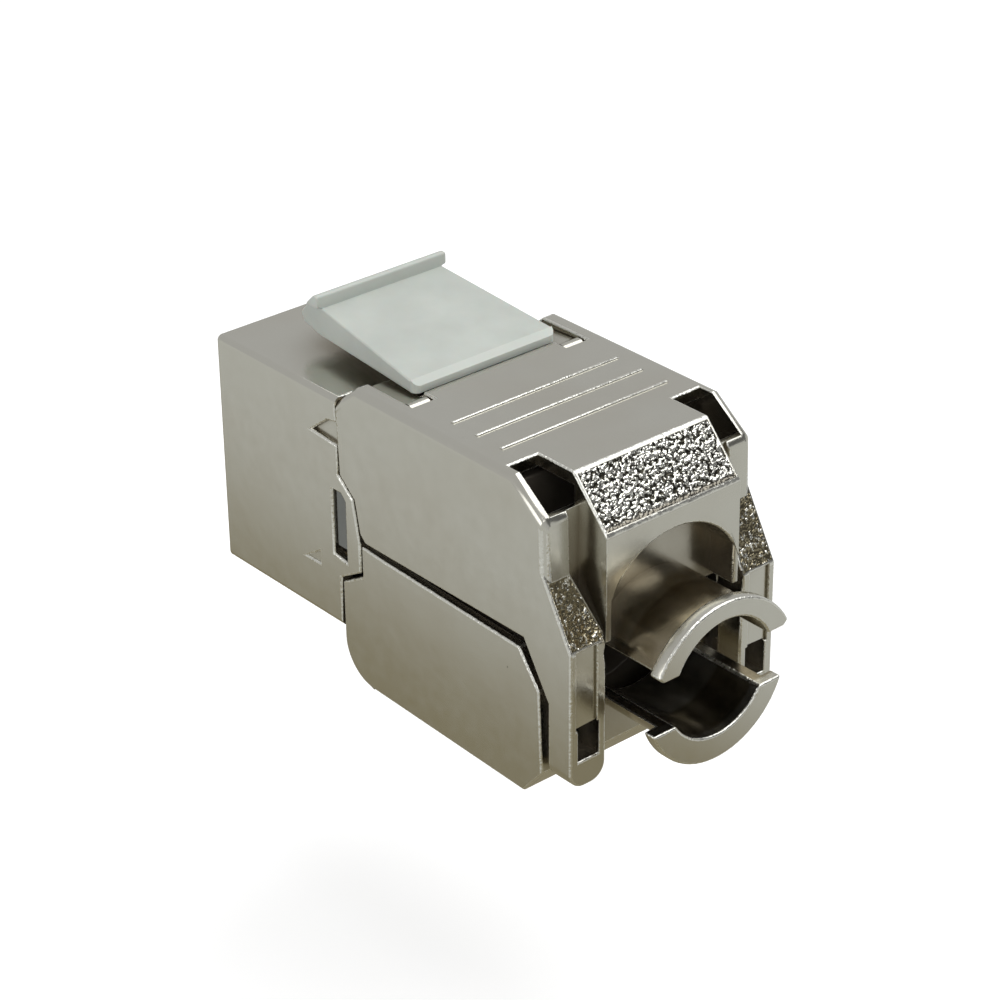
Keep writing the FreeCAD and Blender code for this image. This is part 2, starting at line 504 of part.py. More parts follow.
def lower_shell():
    """Lower jaw: tray whose front corner is struck about its hinge, half collar, nubs."""
    body = new_piece("lower_shell")
    tab_end = "housing_depth + tab_reach + seam_gap"
    extrude(body, "YZ_Plane", "-side", "side",
            [(tab_end, "split_level - split_gap_front"), (tab_end, "tab_foot - seam_gap"),
             ("lower_front", "tab_base - seam_gap"), ("lower_front", "lower_keel"),
             ("lower_pin_y", "lower_keel"), ("lower_keel_y", "lower_keel - lower_keel_sag"),
             ("lower_rear_y", "lower_keel - lower_keel_sag + lower_tail_rise"),
             ("lower_rear_top", "lower_split - lower_bevel_drop"),
             ("lower_rear_top - lower_bevel_run", "lower_split"),
             (tab_end + " + split_run", "split_level - split_gap")])
    treat_edges(body, "Fillet", "lower_swing_radius * 0.999",
                lambda edge: runs_along(edge, 0) and near(edge.CenterOfMass.y, "lower_front")
                and near(edge.CenterOfMass.z, "lower_keel"))
    extrude(body, "YZ_Plane", "-(shell_inside)", "shell_inside",
            [("lower_front - overrun", "split_level"), ("lower_front - overrun", "lower_keel - overrun"),
             ("lower_pin_y - lower_plate_lead", "lower_keel - overrun"),
             ("lower_pin_y - lower_plate_lead", "lower_floor"),
             ("lower_keel_y - split_ease", "lower_floor - lower_keel_sag"),
             ("lower_rear_inside", "lower_floor - lower_keel_sag + lower_tail_rise"),
             ("lower_rear_inside", "split_level")], cut=True)
    # way for the cable through the rear wall
    extrude(body, "XZ_Plane", "lower_rear_inside - overrun", "lower_rear_y + overrun",
            box("-collar_bore", "collar_bore", "cable_level", "split_level"), cut=True)
    # half collar with its flange
    extrude(body, "XZ_Plane", "lower_rear_inside + collar_root / 2", "lower_flange_y",
            ("0", "cable_level", "collar_outside"))
    extrude(body, "XZ_Plane", "lower_flange_y - flange_thick", "lower_flange_y",
            ("0", "lower_flange_level", "lower_flange_radius"))
    extrude(body, "XZ_Plane", "lower_rear_inside - overrun", "lower_flange_y + overrun",
            ("0", "cable_level", "collar_bore"), cut=True)
    collar_head = "cable_level + collar_outside + overrun"
    extrude(body, "YZ_Plane", "-lower_flange_radius - overrun", "lower_flange_radius + overrun",
            [("lower_rear_top - lower_bevel_run - overrun", "lower_split"),
             ("lower_rear_top - lower_bevel_run", "lower_split"),
             ("lower_rear_top", "lower_split - lower_bevel_drop"),
             ("lower_rear_top + lower_rear_lean / 4", "lower_collar_edge"),
             ("lower_flange_y + overrun", "lower_collar_edge"),
             ("lower_flange_y + overrun", collar_head),
             ("lower_rear_top - lower_bevel_run - overrun", collar_head)], cut=True)
    extrude(body, "XZ_Plane", "lower_rear_inside - overrun / 2", "lower_rear_y + collar_root / 2",
            box("-collar_bore", "collar_bore", "cable_level", collar_head), cut=True)
    # nubs that the windows of the legs ride over
    nub_out = "(side - catch_inset - (catch_width - nub_width) / 2)"
    both_sides(body, nub_out + " - nub_width", nub_out,
               [("lower_rear_y - nub_root", "catch_top - nub_drop + nub_top_slope"),
                ("lower_rear_y + nub_reach / 2", "catch_top - nub_drop"),
                ("lower_rear_y + nub_reach", "catch_top - nub_drop - nub_tall"),
                ("lower_rear_y - nub_root", "catch_top - nub_drop - nub_tall")])
    both_sides(body, "shell_inside - pin_socket", "shell_inside + pin_socket + socket_depth_play",
               ("lower_pin_y", "lower_axis", "lower_pin_radius + pin_clearance"), cut=True)


def latch():
    """Moulded spring wedge that snaps behind the panel's edge."""
    body = new_piece("latch")
    extrude(body, "YZ_Plane", "-latch_rear_half", "latch_rear_half",
            [("latch_front_y + latch_under_run", "latch_base"), ("latch_rear_y", "latch_base"),
             ("latch_rear_y", "latch_base + latch_rear_low"),
             ("latch_rear_y - latch_ease", "latch_base + latch_rear_top"),
             ("latch_step_y", "latch_base + latch_step_top"),
             ("latch_step_y", "latch_base + latch_lip_top"),
             ("latch_lip_y", "latch_base + latch_lip_top"),
             ("latch_front_y", "latch_base + latch_nose_rise + latch_nose_tall"),
             ("latch_front_y + latch_nose_lean", "latch_base + latch_nose_rise")])
    # plan form: straight front, sides that spread to the rear, lip a little wider than the front
    for turn in ("", "-"):
        beyond = turn + "(latch_rear_half + overrun)"
        extrude(body, "XY_Plane", "latch_base - overrun", "latch_base + latch_step_top",
                [(turn + "latch_front_half", "latch_front_y - overrun"),
                 (turn + "latch_front_half", "latch_step_y"),
                 (turn + "latch_rear_half", "latch_rear_y"),
                 (turn + "latch_rear_half", "latch_rear_y + overrun"),
                 (beyond, "latch_rear_y + overrun"), (beyond, "latch_front_y - overrun")], cut=True)
        extrude(body, "XY_Plane", "latch_base + latch_step_top", "latch_base + latch_lip_top + overrun",
                box(turn + "latch_lip_half", beyond, "latch_front_y - overrun",
                    "latch_step_y + overrun"), cut=True)
    treat_edges(body, "Fillet", "latch_corner",
                lambda edge: runs_along(edge, 2) and near(edge.CenterOfMass.y, "latch_rear_y"))
    extrude(body, "XY_Plane", "half_height - latch_foot_drop + latch_foot_play",
            "latch_base + latch_foot_play",
            box("-latch_foot_width / 2", "latch_foot_width / 2", "latch_foot_front",
                "latch_foot_front + latch_foot_length"))


def port_insert():
    """Moulded insert behind the face: plug cavity, grooves for the contacts, narrowed rear."""
    body = new_piece("port_insert")
    extrude(body, "XZ_Plane", "face_wall + insert_play / 2", "insert_depth",
            box("-(insert_side)", "insert_side", "-(insert_half)", "insert_half"))
    both_sides(body, "insert_side - insert_neck", "side",
               box("insert_neck_y", "insert_depth + overrun", "-half_height", "half_height"), cut=True)
    extrude(body, "XZ_Plane", "0", "port_depth", port_outline(), cut=True)
    # grooves for the sprung lengths, then bores for the straight ones
    for low, end in (("contact_tip_level", "contact_tip_y + contact_slot_end"),
                     ("contact_under - hole_play", "insert_depth + overrun")):
        lanes = [box(middle + " - contact_slot / 2", middle + " + contact_slot / 2",
                     low, "contact_top + hole_play") for middle in lane_middles()]
        extrude(body, "XZ_Plane", "contact_slot_front", end, *lanes, cut=True)
    # side channels for the shield springs
    both_sides(body, "port_width / 2 - spring_bow", "port_width / 2 + spring_thick + spring_play",
               box("0", "face_wall + insert_play + spring_length + spring_play",
                   "spring_level - spring_tall / 2 - spring_play",
                   "spring_level + spring_tall / 2 + spring_play"), cut=True)


def lane_middles():
    """X of the contacts, evenly spaced about the middle."""
    return ["contact_pitch * (%d - (contact_count - 1) / 2)" % lane
            for lane in range(int(number("contact_count")))]


def contacts():
    """Sprung contact wires: from the board along the roof, round, and back down the cavity."""
    outline = [("board_rear", "contact_top"), ("contact_bend_y", "contact_top"),
               ("contact_bend_y - contact_knee", "contact_top - contact_knee"),
               ("contact_bend_y - contact_knee * 4 / 5", "contact_under - contact_knee"),
               ("contact_tip_y", "contact_tip_level"),
               ("contact_tip_y + contact_thick / 2", "contact_tip_level + contact_thick"),
               ("contact_bend_y - contact_knee / 3", "contact_under - contact_knee / 2"),
               ("contact_bend_y + contact_knee / 2", "contact_under"),
               ("board_rear", "contact_under")]
    for place, middle in enumerate(lane_middles(), start=1):
        body = new_piece("contact_%d" % place)
        extrude(body, "YZ_Plane", middle + " - contact_width / 2",
                middle + " + contact_width / 2", outline)


def column_middles():
    """X of the blades in a row."""
    return ["row_pitch * (%d - (row_count - 1) / 2)" % column
            for column in range(int(number("row_count")))]


def blade_places():
    """(across, up) expressions of the blades, row by row."""
    return [(middle, level) for level in ("upper_row", "lower_row") for middle in column_middles()]


def blade_slots(wide, thick):
    """One rectangle round each blade, from its half width and half thickness."""
    return [box("%s - (%s)" % (across, wide), "%s + %s" % (across, wide),
                "%s - (%s)" % (level, thick), "%s + %s" % (level, thick))
            for across, level in blade_places()]


def circuit_board():
    """Upright board that joins the contacts to the blades."""
    body = new_piece("circuit_board")
    extrude(body, "XZ_Plane", "board_front", "board_rear",
            box("-(board_side)", "board_side", "-(board_half)", "board_half"))
    holes = [box(middle + " - contact_width / 2 - hole_play", middle + " + contact_width / 2 + hole_play",
                 "contact_under - hole_play", "contact_top + hole_play") for middle in lane_middles()]
    holes += blade_slots("blade_tail / 2 + hole_play", "blade_thick / 2 + hole_play")
    extrude(body, "XZ_Plane", "board_front - overrun", "board_rear + overrun", *holes, cut=True)


def idc_block():
    """Moulded carrier of the blades, clipped into the windows of the housing's tabs."""
    body = new_piece("idc_block")
    extrude(body, "XZ_Plane", "block_front", "block_rear",
            box("-(board_side)", "board_side", "-(board_half)", "board_half"))
    extrude(body, "XZ_Plane", "block_front - overrun", "block_rear + overrun",
            *blade_slots("blade_width / 2 + hole_play", "blade_thick / 2 + hole_play"), cut=True)
    clip_in, clip_out = "board_side + board_gap", "(board_side + board_gap + clip_thick)"
    low, high = "clip_level - clip_tall / 2", "clip_level + clip_tall / 2"
    hook_front = "window_front + clip_play"
    root_rear = "block_front + clip_root_rear"
    both_sides(body, "board_side - clip_thick", clip_out,
               box("block_front + clip_root_front", root_rear, low, high))
    both_sides(body, clip_in, clip_out, box(hook_front, root_rear, low, high))
    hook_rear = hook_front + " + clip_hook_length"
    both_sides(body, clip_out + " - clip_play", clip_out + " + clip_hook",
               [(hook_front, low), (hook_rear, low), (hook_rear, high + " - window_bevel"),
                (hook_rear + " - window_bevel", high), (hook_front, high)])


def idc_blades():
    """Forked blades that cut into the wires: tail through the board, fork to the rear."""
    base_y = "block_front + blade_seat"
    tip_y = "block_rear + blade_reach"
    right = [("blade_tail / 2", "board_front"), ("blade_tail / 2", base_y),
             ("blade_width / 2", base_y), ("blade_width / 2", tip_y + " - blade_bevel"),
             ("blade_width / 2 - blade_bevel / 2", tip_y),
             ("blade_fork / 2 + blade_bevel / 2", tip_y),
             ("blade_fork / 2", tip_y + " - blade_bevel / 2"),
             ("blade_fork / 2", tip_y + " - blade_fork_depth")]
    for place, (across, level) in enumerate(blade_places(), start=1):
        body = new_piece("idc_blade_%d" % place)
        outline = [(across + " + " + x, y) for x, y in right]
        outline += [(across + " - (%s)" % x, y) for x, y in reversed(right)]
        extrude(body, "XY_Plane", level + " - blade_thick / 2", level + " + blade_thick / 2", outline)


def wire_manager():
    """Cap that leads the wires over the blades: cable bore, passage, channels, blade slots."""
    body = new_piece("wire_manager")
    extrude(body, "XZ_Plane", "manager_front", "manager_rear",
            box("-(manager_side)", "manager_side", "manager_floor", "manager_roof"))
    extrude(body, "XZ_Plane", "manager_rear - manager_bore_depth", "manager_rear + overrun",
            ("0", "cable_level", "manager_bore"), cut=True)
    extrude(body, "XZ_Plane", "manager_front - overrun", "manager_rear",
            ("0", "passage_level", "passage_radius"), cut=True)
    for low, high in (("passage_level", "manager_roof + overrun"),
                      ("manager_floor - overrun", "passage_level")):
        lanes = [box(middle + " - channel_width / 2", middle + " + channel_width / 2", low, high)
                 for middle in column_middles()]
        extrude(body, "XZ_Plane", "manager_front - overrun", "manager_front + channel_depth",
                *lanes, cut=True)
    outer = "row_pitch * (row_count - 1) / 2"
    extrude(body, "XZ_Plane", "manager_front - overrun", "manager_front + channel_depth",
            box("-" + outer, outer, "passage_level - link_tall / 2",
                "passage_level + link_tall / 2"), cut=True)
    extrude(body, "XZ_Plane", "manager_front - overrun", "manager_front + blade_reach + blade_end_room",
            *blade_slots("blade_width / 2 + blade_room", "blade_thick / 2 + blade_room"), cut=True)


def hinge_pins(label, inner_end, axis_y, axis_z, radius):
    """Two short steel pins, from inside each ear into the socket of the shell's side wall."""
    outer_end = "shell_inside + pin_socket - socket_depth_play"
    pair = []
    for turn in (1, -1):
        pin = doc.addObject("Part::Cylinder", "%s_%s" % (label, "right" if turn > 0 else "left"))
        pin.setExpression("Radius", bound(radius))
        pin.setExpression("Height", bound("%s - (%s)" % (outer_end, inner_end)))
        pin.Placement = FreeCAD.Placement(FreeCAD.Vector(),
                                          FreeCAD.Rotation(FreeCAD.Vector(0, turn, 0), 90))
        pin.setExpression(".Placement.Base.x", bound("%d * (%s)" % (turn, inner_end)))
        pin.setExpression(".Placement.Base.y", bound(axis_y))
        pin.setExpression(".Placement.Base.z", bound(axis_z))
        pair.append(pin)
    group = doc.addObject("Part::Compound", label)
    group.Label = label
    group.Links = pair
    PIECES.append(group)


def shield_springs():
    """Bowed strips at the sides of the opening that touch the plug's screen."""
    start = "face_wall + insert_play"
    middle, end = start + " + spring_length / 2", start + " + spring_length"
    bow = "port_width / 2 - spring_bow"
    outline = [("port_width / 2", start), (bow, middle), ("port_width / 2", end),
               ("port_width / 2 + spring_thick", end), (bow + " + spring_thick", middle),
               ("port_width / 2 + spring_thick", start)]
    for label, turn in (("shield_spring_right", ""), ("shield_spring_left", "-")):
        body = new_piece(label)
        extrude(body, "XY_Plane", "spring_level - spring_tall / 2", "spring_level + spring_tall / 2",
                [("%s(%s)" % (turn, across), up) for across, up in outline])


def check_and_write():
    """Stop on any failed object, then write one STEP file for each piece."""
    doc.recompute()
    failed = [item.Name for item in doc.Objects if {"Invalid", "Error"} & set(item.State)]
    if failed:
        raise RuntimeError("failed objects: " + ", ".join(failed))
    os.makedirs("parts", exist_ok=True)
    for piece in PIECES:
        if piece.Shape.isNull() or not piece.Shape.isValid():
            raise RuntimeError("bad shape: " + piece.Label)
        piece.Shape.exportStep("parts/%s.step" % piece.Label)


front_housing()
upper_shell()
lower_shell()
latch()
port_insert()
contacts()
circuit_board()
idc_block()
idc_blades()
wire_manager()
hinge_pins("upper_hinge_pins", "ear_inner", "upper_pin_y", "upper_axis", "upper_pin_radius")
hinge_pins("lower_hinge_pins", "lower_ear_inner", "lower_pin_y", "lower_axis", "lower_pin_radius")
shield_springs()
check_and_write()
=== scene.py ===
"""Looks of a shielded tool-free keystone jack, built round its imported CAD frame.

Metres. X runs across the jack, +Y from the plug face to the cable, +Z up.
"""
import json
import math

import bmesh
import bpy
from bpy.props import FloatProperty, FloatVectorProperty, IntProperty, PointerProperty
from mathutils import Matrix, Vector

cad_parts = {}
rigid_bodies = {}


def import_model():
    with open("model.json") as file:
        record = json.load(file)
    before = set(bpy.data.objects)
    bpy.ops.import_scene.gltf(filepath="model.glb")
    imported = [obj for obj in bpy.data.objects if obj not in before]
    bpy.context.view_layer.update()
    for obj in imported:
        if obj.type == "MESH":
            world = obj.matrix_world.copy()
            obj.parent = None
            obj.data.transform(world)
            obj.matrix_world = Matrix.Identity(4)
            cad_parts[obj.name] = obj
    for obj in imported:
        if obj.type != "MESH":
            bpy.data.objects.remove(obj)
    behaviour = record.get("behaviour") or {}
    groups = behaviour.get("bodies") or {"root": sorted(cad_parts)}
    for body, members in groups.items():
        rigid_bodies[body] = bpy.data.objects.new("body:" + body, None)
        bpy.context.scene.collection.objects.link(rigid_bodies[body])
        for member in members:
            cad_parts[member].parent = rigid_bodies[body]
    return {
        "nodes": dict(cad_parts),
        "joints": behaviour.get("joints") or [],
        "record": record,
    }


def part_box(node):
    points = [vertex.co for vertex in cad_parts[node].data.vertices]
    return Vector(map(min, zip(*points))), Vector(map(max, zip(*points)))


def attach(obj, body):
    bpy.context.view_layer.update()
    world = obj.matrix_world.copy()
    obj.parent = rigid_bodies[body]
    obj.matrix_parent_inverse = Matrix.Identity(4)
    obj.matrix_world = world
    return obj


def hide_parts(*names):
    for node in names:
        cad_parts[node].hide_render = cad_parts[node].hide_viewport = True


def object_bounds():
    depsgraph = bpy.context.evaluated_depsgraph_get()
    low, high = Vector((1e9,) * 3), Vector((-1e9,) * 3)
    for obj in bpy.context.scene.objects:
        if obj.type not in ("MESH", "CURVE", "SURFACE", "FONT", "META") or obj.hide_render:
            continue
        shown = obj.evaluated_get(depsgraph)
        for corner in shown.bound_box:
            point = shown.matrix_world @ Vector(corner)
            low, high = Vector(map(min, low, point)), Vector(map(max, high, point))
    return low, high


bl_info = {
    "name": "Keystone jack",
    "version": (1, 0, 0),
    "blender": (4, 5, 0),
    "location": "View3D > Sidebar > Keystone jack",
    "description": "Dresses the castings, mouldings and contacts of a keystone jack",
    "category": "Object",
}

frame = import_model()
CAD_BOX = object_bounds()
MM = 0.001

# Faces that meet at less than FLAT are joined into one.
FLAT = math.radians(1.0)
# A side that leaves an edge at more than ACROSS limits how far that edge is rounded: the
# rounding takes this share of the side, alone or with another rounding at the far end.
ACROSS = math.radians(40.0)
ALONE = 0.9
SHARED = 0.45
# Levels between which most of a noise lies.
NOISE_BAND = (0.3, 0.7)
# Material slots of the castings.
PLATE_SLOT, EDGE_SLOT, NOSE_SLOT, SLOPE_SLOT = range(4)


# ---------------------------------------------------------------- properties

def length(label, description, default):
    """A length in metres, for the property groups."""
    return FloatProperty(name=label, description=description, default=default, min=0.0,
                         unit="LENGTH", precision=5)


def offset(label, description, default):
    """A length in metres to either side."""
    return FloatProperty(name=label, description=description, default=default, unit="LENGTH",
                         precision=5)


def direction(label, description, default):
    """A direction from the middle of the jack."""
    return FloatVectorProperty(name=label, description=description, default=default, size=3,
                               subtype="DIRECTION")


def share(label, description, default):
    """A number from nought to one."""
    return FloatProperty(name=label, description=description, default=default, min=0.0, max=1.0,
                         subtype="FACTOR")


def colour(label, description, default):
    """A linear colour."""
    return FloatVectorProperty(name=label, description=description, default=default, size=3,
                               min=0.0, max=1.0, subtype="COLOR")


def angle(label, description, degrees):
    """An angle, given in degrees and kept in radians."""
    return FloatProperty(name=label, description=description, default=math.radians(degrees),
                         unit="ROTATION", subtype="ANGLE")


def level(label, description, default):
    """A factor from nought upwards. Of a light, one is plain white."""
    return FloatProperty(name=label, description=description, default=default, min=0.0)


class JackEdges(bpy.types.PropertyGroup):
    """How far each kind of piece is rounded at its edges."""
    casting: length("Casting edge", "Rounding of the plated castings", 0.13 * MM)
    moulding: length("Moulding edge", "Rounding of the plastic mouldings", 0.10 * MM)
    latch: length("Latch edge", "Rounding of the panel latch", 0.16 * MM)
    wire: length("Wire edge", "Rounding of contacts, blades and springs", 0.04 * MM)
    sharp: angle("Sharp angle", "Edges that turn more than this are rounded", 28.0)
    smooth: angle("Smooth angle", "Faces that turn less than this are shaded as one", 32.0)
    shortest: length("Shortest edge", "Edges shorter than this stay as they are", 0.12 * MM)
    segments: IntProperty(name="Segments", description="Facets across a rounded edge", default=3,
                          min=1, max=6)


class JackGrain(bpy.types.PropertyGroup):
    """The spark-eroded grain on the nose and the leg slopes."""
    height: length("Grain height", "Height of the grain", 0.06 * MM)
    pitch: length("Grain pitch", "Size of one lump", 0.21 * MM)
    cell: length("Grain cell", "Size of the mesh cells that carry the grain", 0.07 * MM)
    border: length("Smooth border", "Plain rim round a grained face", 0.05 * MM)
    contrast: level("Grain contrast", "How sharply the lumps stand out", 1.6)
    ground: share("Grain ground", "Level of the lumps that lies in the face itself", 0.62)
    # Below this height the nose's grain takes painted shade.
    foot: length("Dull foot", "Height under which the nose's slope is dull", 5.68 * MM)
    foot_fade: length("Dull foot fade", "Height over which the dull foot ends", 0.15 * MM)


class JackPlate(bpy.types.PropertyGroup):
    """Sizes of the marks in the nickel plate."""
    patch: length("Patch", "Size of the warm patches", 6.0 * MM)
    cloud: length("Cloud", "Size of the duller clouds", 0.9 * MM)
    wave: length("Wave", "Size of the faint waves", 2.4 * MM)
    wave_depth: length("Wave depth", "Depth of the faint waves", 0.010 * MM)
    ripple: length("Ripple", "Size of the fine ripples", 0.11 * MM)
    ripple_depth: length("Ripple depth", "Depth of the fine ripples", 0.0016 * MM)
    speck: length("Speck", "Size of a dark speck", 0.05 * MM)
    speck_gap: length("Speck gap", "Distance between dark specks", 1.9 * MM)
    haze: length("Haze", "Size of the duller spots on edges and grain", 0.3 * MM)
    # This width sets how far into hollows the painted shade reaches.
    hollow_shade_reach: length("Hollow", "Width of the hollows whose plate is dull", 6.0 * MM)
    # This width sets which gap edges get painted shade.
    crease_shade_reach: length("Crease", "Width of the gaps whose edges are dull", 2.0 * MM)
    bead: length("Bead", "Size of the beads along the edges", 0.20 * MM)
    bead_depth: length("Bead depth", "Depth of the beads along the edges", 0.045 * MM)
    lump: length("Lump", "Size of the bright lumps in the eroded plate", 0.22 * MM)
    lump_depth: length("Lump depth", "Depth of relief between the lumps", 0.10 * MM)
    # The next four set a band of painted brown shade on the cable collar, between the legs and the
    # flange.
    tube_start: length("Tube start", "Where the brown tube begins behind the legs", 29.7 * MM)
    leg_fade: length("Leg fade", "Length over which the tube turns brown", 0.3 * MM)
    tube_end: length("Tube end", "Where the brown tube ends at the flange", 32.5 * MM)
    flange_fade: length("Flange fade", "Length over which the brown ends", 0.2 * MM)


class JackColours(bpy.types.PropertyGroup):
    """Base colours of the finishes."""
    nickel: colour("Nickel", "Plated casting", (0.650, 0.640, 0.575))
    # This colour is the plate's own warm patches, and also the base of painted shade on gap edges
    # and under the nose's foot.
    tarnish_and_shade: colour("Tarnish", "Warmer patches of the plating", (0.560, 0.520, 0.430))
    # The next colour is painted shade, laid far inside hollows where shade falls.
    hollow_shade: colour("Deep tarnish", "Plating far inside hollows", (0.260, 0.225, 0.165))
    # The next colour is painted shade on the cable collar.
    tube_shade: colour("Tube", "Browner plate of the cable collar", (0.330, 0.285, 0.205))
    # The edge colour is partly a painted highlight along the rounded edges.
    edge: colour("Edge", "Polished edges of the castings", (0.800, 0.795, 0.735))
    # The next colour is painted shade in the bottoms of the grain.
    pit_shade: colour("Pits", "Bottoms of the eroded grain", (0.060, 0.056, 0.042))
    slope: colour("Slope", "Eroded plate of the leg slopes", (0.280, 0.245, 0.162))
    latch: colour("Latch", "Panel latch moulding", (0.530, 0.562, 0.520))
    insert: colour("Insert", "Plug insert", (0.022, 0.022, 0.024))
    manager: colour("Manager", "Wire manager", (0.075, 0.064, 0.050))
    block: colour("Block", "Blade carrier", (0.150, 0.156, 0.145))
    board: colour("Board", "Circuit board coating", (0.020, 0.115, 0.045))
    gold: colour("Gold", "Contact plating", (0.860, 0.620, 0.260))
    tin: colour("Tin", "Blade plating", (0.700, 0.690, 0.660))
    steel: colour("Steel", "Pins and springs", (0.560, 0.560, 0.555))


class JackStage(bpy.types.PropertyGroup):
    """Camera, floor and light."""
    azimuth: angle("Azimuth", "Camera angle round the jack", 139.58)
    elevation: angle("Elevation", "Camera height angle", 28.63)
    roll: angle("Roll", "Camera tilt about its own axis", -0.64)
    distance: length("Distance", "Camera to the middle of the jack, along the view", 164.25 * MM)
    aside: offset("Aside", "Camera offset to its right", -0.631 * MM)
    rise: offset("Rise", "Camera offset upwards in its view", 0.534 * MM)
    lens: FloatProperty(name="Lens", description="Focal length", default=108.4, min=1.0)
    ambient: level("Ambient", "Level of the room", 0.52)
    dark_side: direction("Dark side", "Middle of the room's dark side", (-0.57, 0.66, 0.42))
    dark_level: share("Dark level", "Level of the dark side, as a share of the room's", 0.25)
    lamp_distance: length("Lamp distance", "Every lamp to the middle of the jack", 0.30)
    overhead: level("Overhead", "Level of the lamp above", 2.0)
    overhead_width: length("Overhead width", "Width of the lamp above", 0.39)
    overhead_side: direction("Overhead side", "Where the lamp above is", (-0.347, 0.254, 0.903))
    end_lamp: level("End lamp", "Level of the lamp beyond the cable end", 2.2)
    end_width: length("End width", "Width of the lamp beyond the cable end", 0.08)
    end_side: direction("End side", "Where the lamp beyond the cable end is", (0.35, 0.9, 0.5))
    fill: level("Fill", "Level of the lamp beside the jack", 1.45)
    fill_width: length("Fill width", "Width of the lamp beside the jack", 0.20)
    fill_side: direction("Fill side", "Where the lamp beside the jack is", (0.95, -0.1, 0.30))
    white: share("White", "Camera level of the background", 1.0)
    floor_colour: colour("Floor", "Floor paper", (0.80, 0.80, 0.80))
    floor_size: length("Floor size", "Side of the floor paper", 3.0)
    floor_drop: length("Floor drop", "Floor below the shell that hangs open", 1.0 * MM)
    floor_glow: level("Floor glow", "What the floor adds to its colour for the camera", 0.46)
    floor_far: colour("Floor far", "What the metal mirrors of the floor far off",
                      (0.60, 0.605, 0.585))
    # What the metal mirrors close by is a painted reflection of shade: darker and browner than the
    # floor's own colour.
    near_floor_shade: colour("Floor near", "What the metal mirrors of the floor close by",
                       (0.290, 0.260, 0.180))
    near_middle: offset("Near middle", "Middle of the near floor, across the jack", 4.0 * MM)
    near_reach: length("Near reach", "Half width of the near floor", 24.0 * MM)
    far_reach: length("Far reach", "Where the far floor begins, from the same middle", 36.0 * MM)


# ---------------------------------------------------------------- mesh helpers

def only(piece):
    """Make the piece the one selected and active object, in object mode."""
    if bpy.context.object and bpy.context.object.mode != "OBJECT":
        bpy.ops.object.mode_set(mode="OBJECT")
    bpy.ops.object.select_all(action="DESELECT")
    piece.select_set(True)
    bpy.context.view_layer.objects.active = piece


def copy_node(node, name):
    """A piece that starts as a joined-up copy of a CAD node."""
    piece = bpy.data.objects.new(name, frame["nodes"][node].data.copy())
    bpy.context.scene.collection.objects.link(piece)
    piece.data.materials.clear()
    only(piece)
    bpy.ops.mesh.customdata_custom_splitnormals_clear()
    bpy.ops.object.mode_set(mode="EDIT")
    bpy.ops.mesh.select_all(action="SELECT")
    bpy.ops.mesh.remove_doubles(threshold=0.0005 * MM)
    bpy.ops.mesh.dissolve_limited(angle_limit=FLAT)
    bpy.ops.object.mode_set(mode="OBJECT")
    return piece


def outer_turns(mesh):
    """For each outer corner edge with two faces, the angle between their normals."""
    sides = {}
    for face in mesh.polygons:
        ring = list(face.vertices)
        for start, end in zip(ring, ring[1:] + ring[:1]):
            along = mesh.vertices[end].co - mesh.vertices[start].co
            key = (min(start, end), max(start, end))
            sides.setdefault(key, []).append((face.normal, face.normal.cross(along)))
    turns = {}
    for key, pair in sides.items():
        if len(pair) == 2 and pair[0][0].dot(pair[1][1]) < 0.0:
            turns[key] = pair[0][0].angle(pair[1][0], 0.0)
    return turns


def room_beside(mesh, edge, joined, sharp):
    """How far this edge may be cut back before the cuts of its neighbours meet it."""
    along = mesh.vertices[edge.vertices[1]].co - mesh.vertices[edge.vertices[0]].co
    room = math.inf
    for vertex in edge.vertices:
        for other in joined[vertex]:
            start, end = mesh.edges[other].vertices
            side = mesh.vertices[end].co - mesh.vertices[start].co
            turned = side.angle(along, 0.0)
            if ACROSS < turned < math.pi - ACROSS:
                far = end if start == vertex else start
                shared = any(e in sharp and e != other for e in joined[far])
                room = min(room, side.length * (SHARED if shared else ALONE))
    return room


def round_edges(piece, width, edges, slot):
    """Round the sharp outer edges, by less where the faces beside them are narrow."""
    mesh = piece.data
    turns = outer_turns(mesh)
    joined = {}
    for edge in mesh.edges:
        for vertex in edge.vertices:
            joined.setdefault(vertex, []).append(edge.index)
    sharp = {edge.index for edge in mesh.edges
             if turns.get(tuple(sorted(edge.vertices)), 0.0) > edges.sharp}
    weights = mesh.attributes.new("bevel_weight_edge", "FLOAT", "EDGE")
    for index in sharp:
        edge = mesh.edges[index]
        start, end = (mesh.vertices[v].co for v in edge.vertices)
        if (end - start).length > edges.shortest:
            room = room_beside(mesh, edge, joined, sharp)
            weights.data[index].value = min(1.0, room / width)
    only(piece)
    bevel = piece.modifiers.new("edge_round", "BEVEL")
    bevel.limit_method = "WEIGHT"
    bevel.width = width
    bevel.segments = edges.segments
    bevel.material = slot
    bevel.use_clamp_overlap = False
    bevel.miter_outer = "MITER_ARC"
    bpy.ops.object.modifier_apply(modifier=bevel.name)


def smooth_shade(piece):
    """Smooth over the rounded edges while the large flats stay flat."""
    only(piece)
    bpy.ops.object.shade_smooth_by_angle(angle=bpy.context.scene.jack_edges.smooth)
    flats = piece.modifiers.new("flats", "WEIGHTED_NORMAL")
    flats.keep_sharp = True
    flats.weight = 100
    bpy.ops.object.modifier_apply(modifier=flats.name)


def pick_faces(piece, wanted):
    """Select only the faces that the test accepts, and go into edit mode on them."""
    only(piece)
    mesh = piece.data
    for group in (mesh.vertices, mesh.edges, mesh.polygons):
        group.foreach_set("select", [False] * len(group))
    chosen = [face for face in mesh.polygons if wanted(face)]
    for face in chosen:
        face.select = True
    bpy.ops.object.mode_set(mode="EDIT")
    bpy.ops.mesh.select_mode(type="FACE")
    return len(chosen)


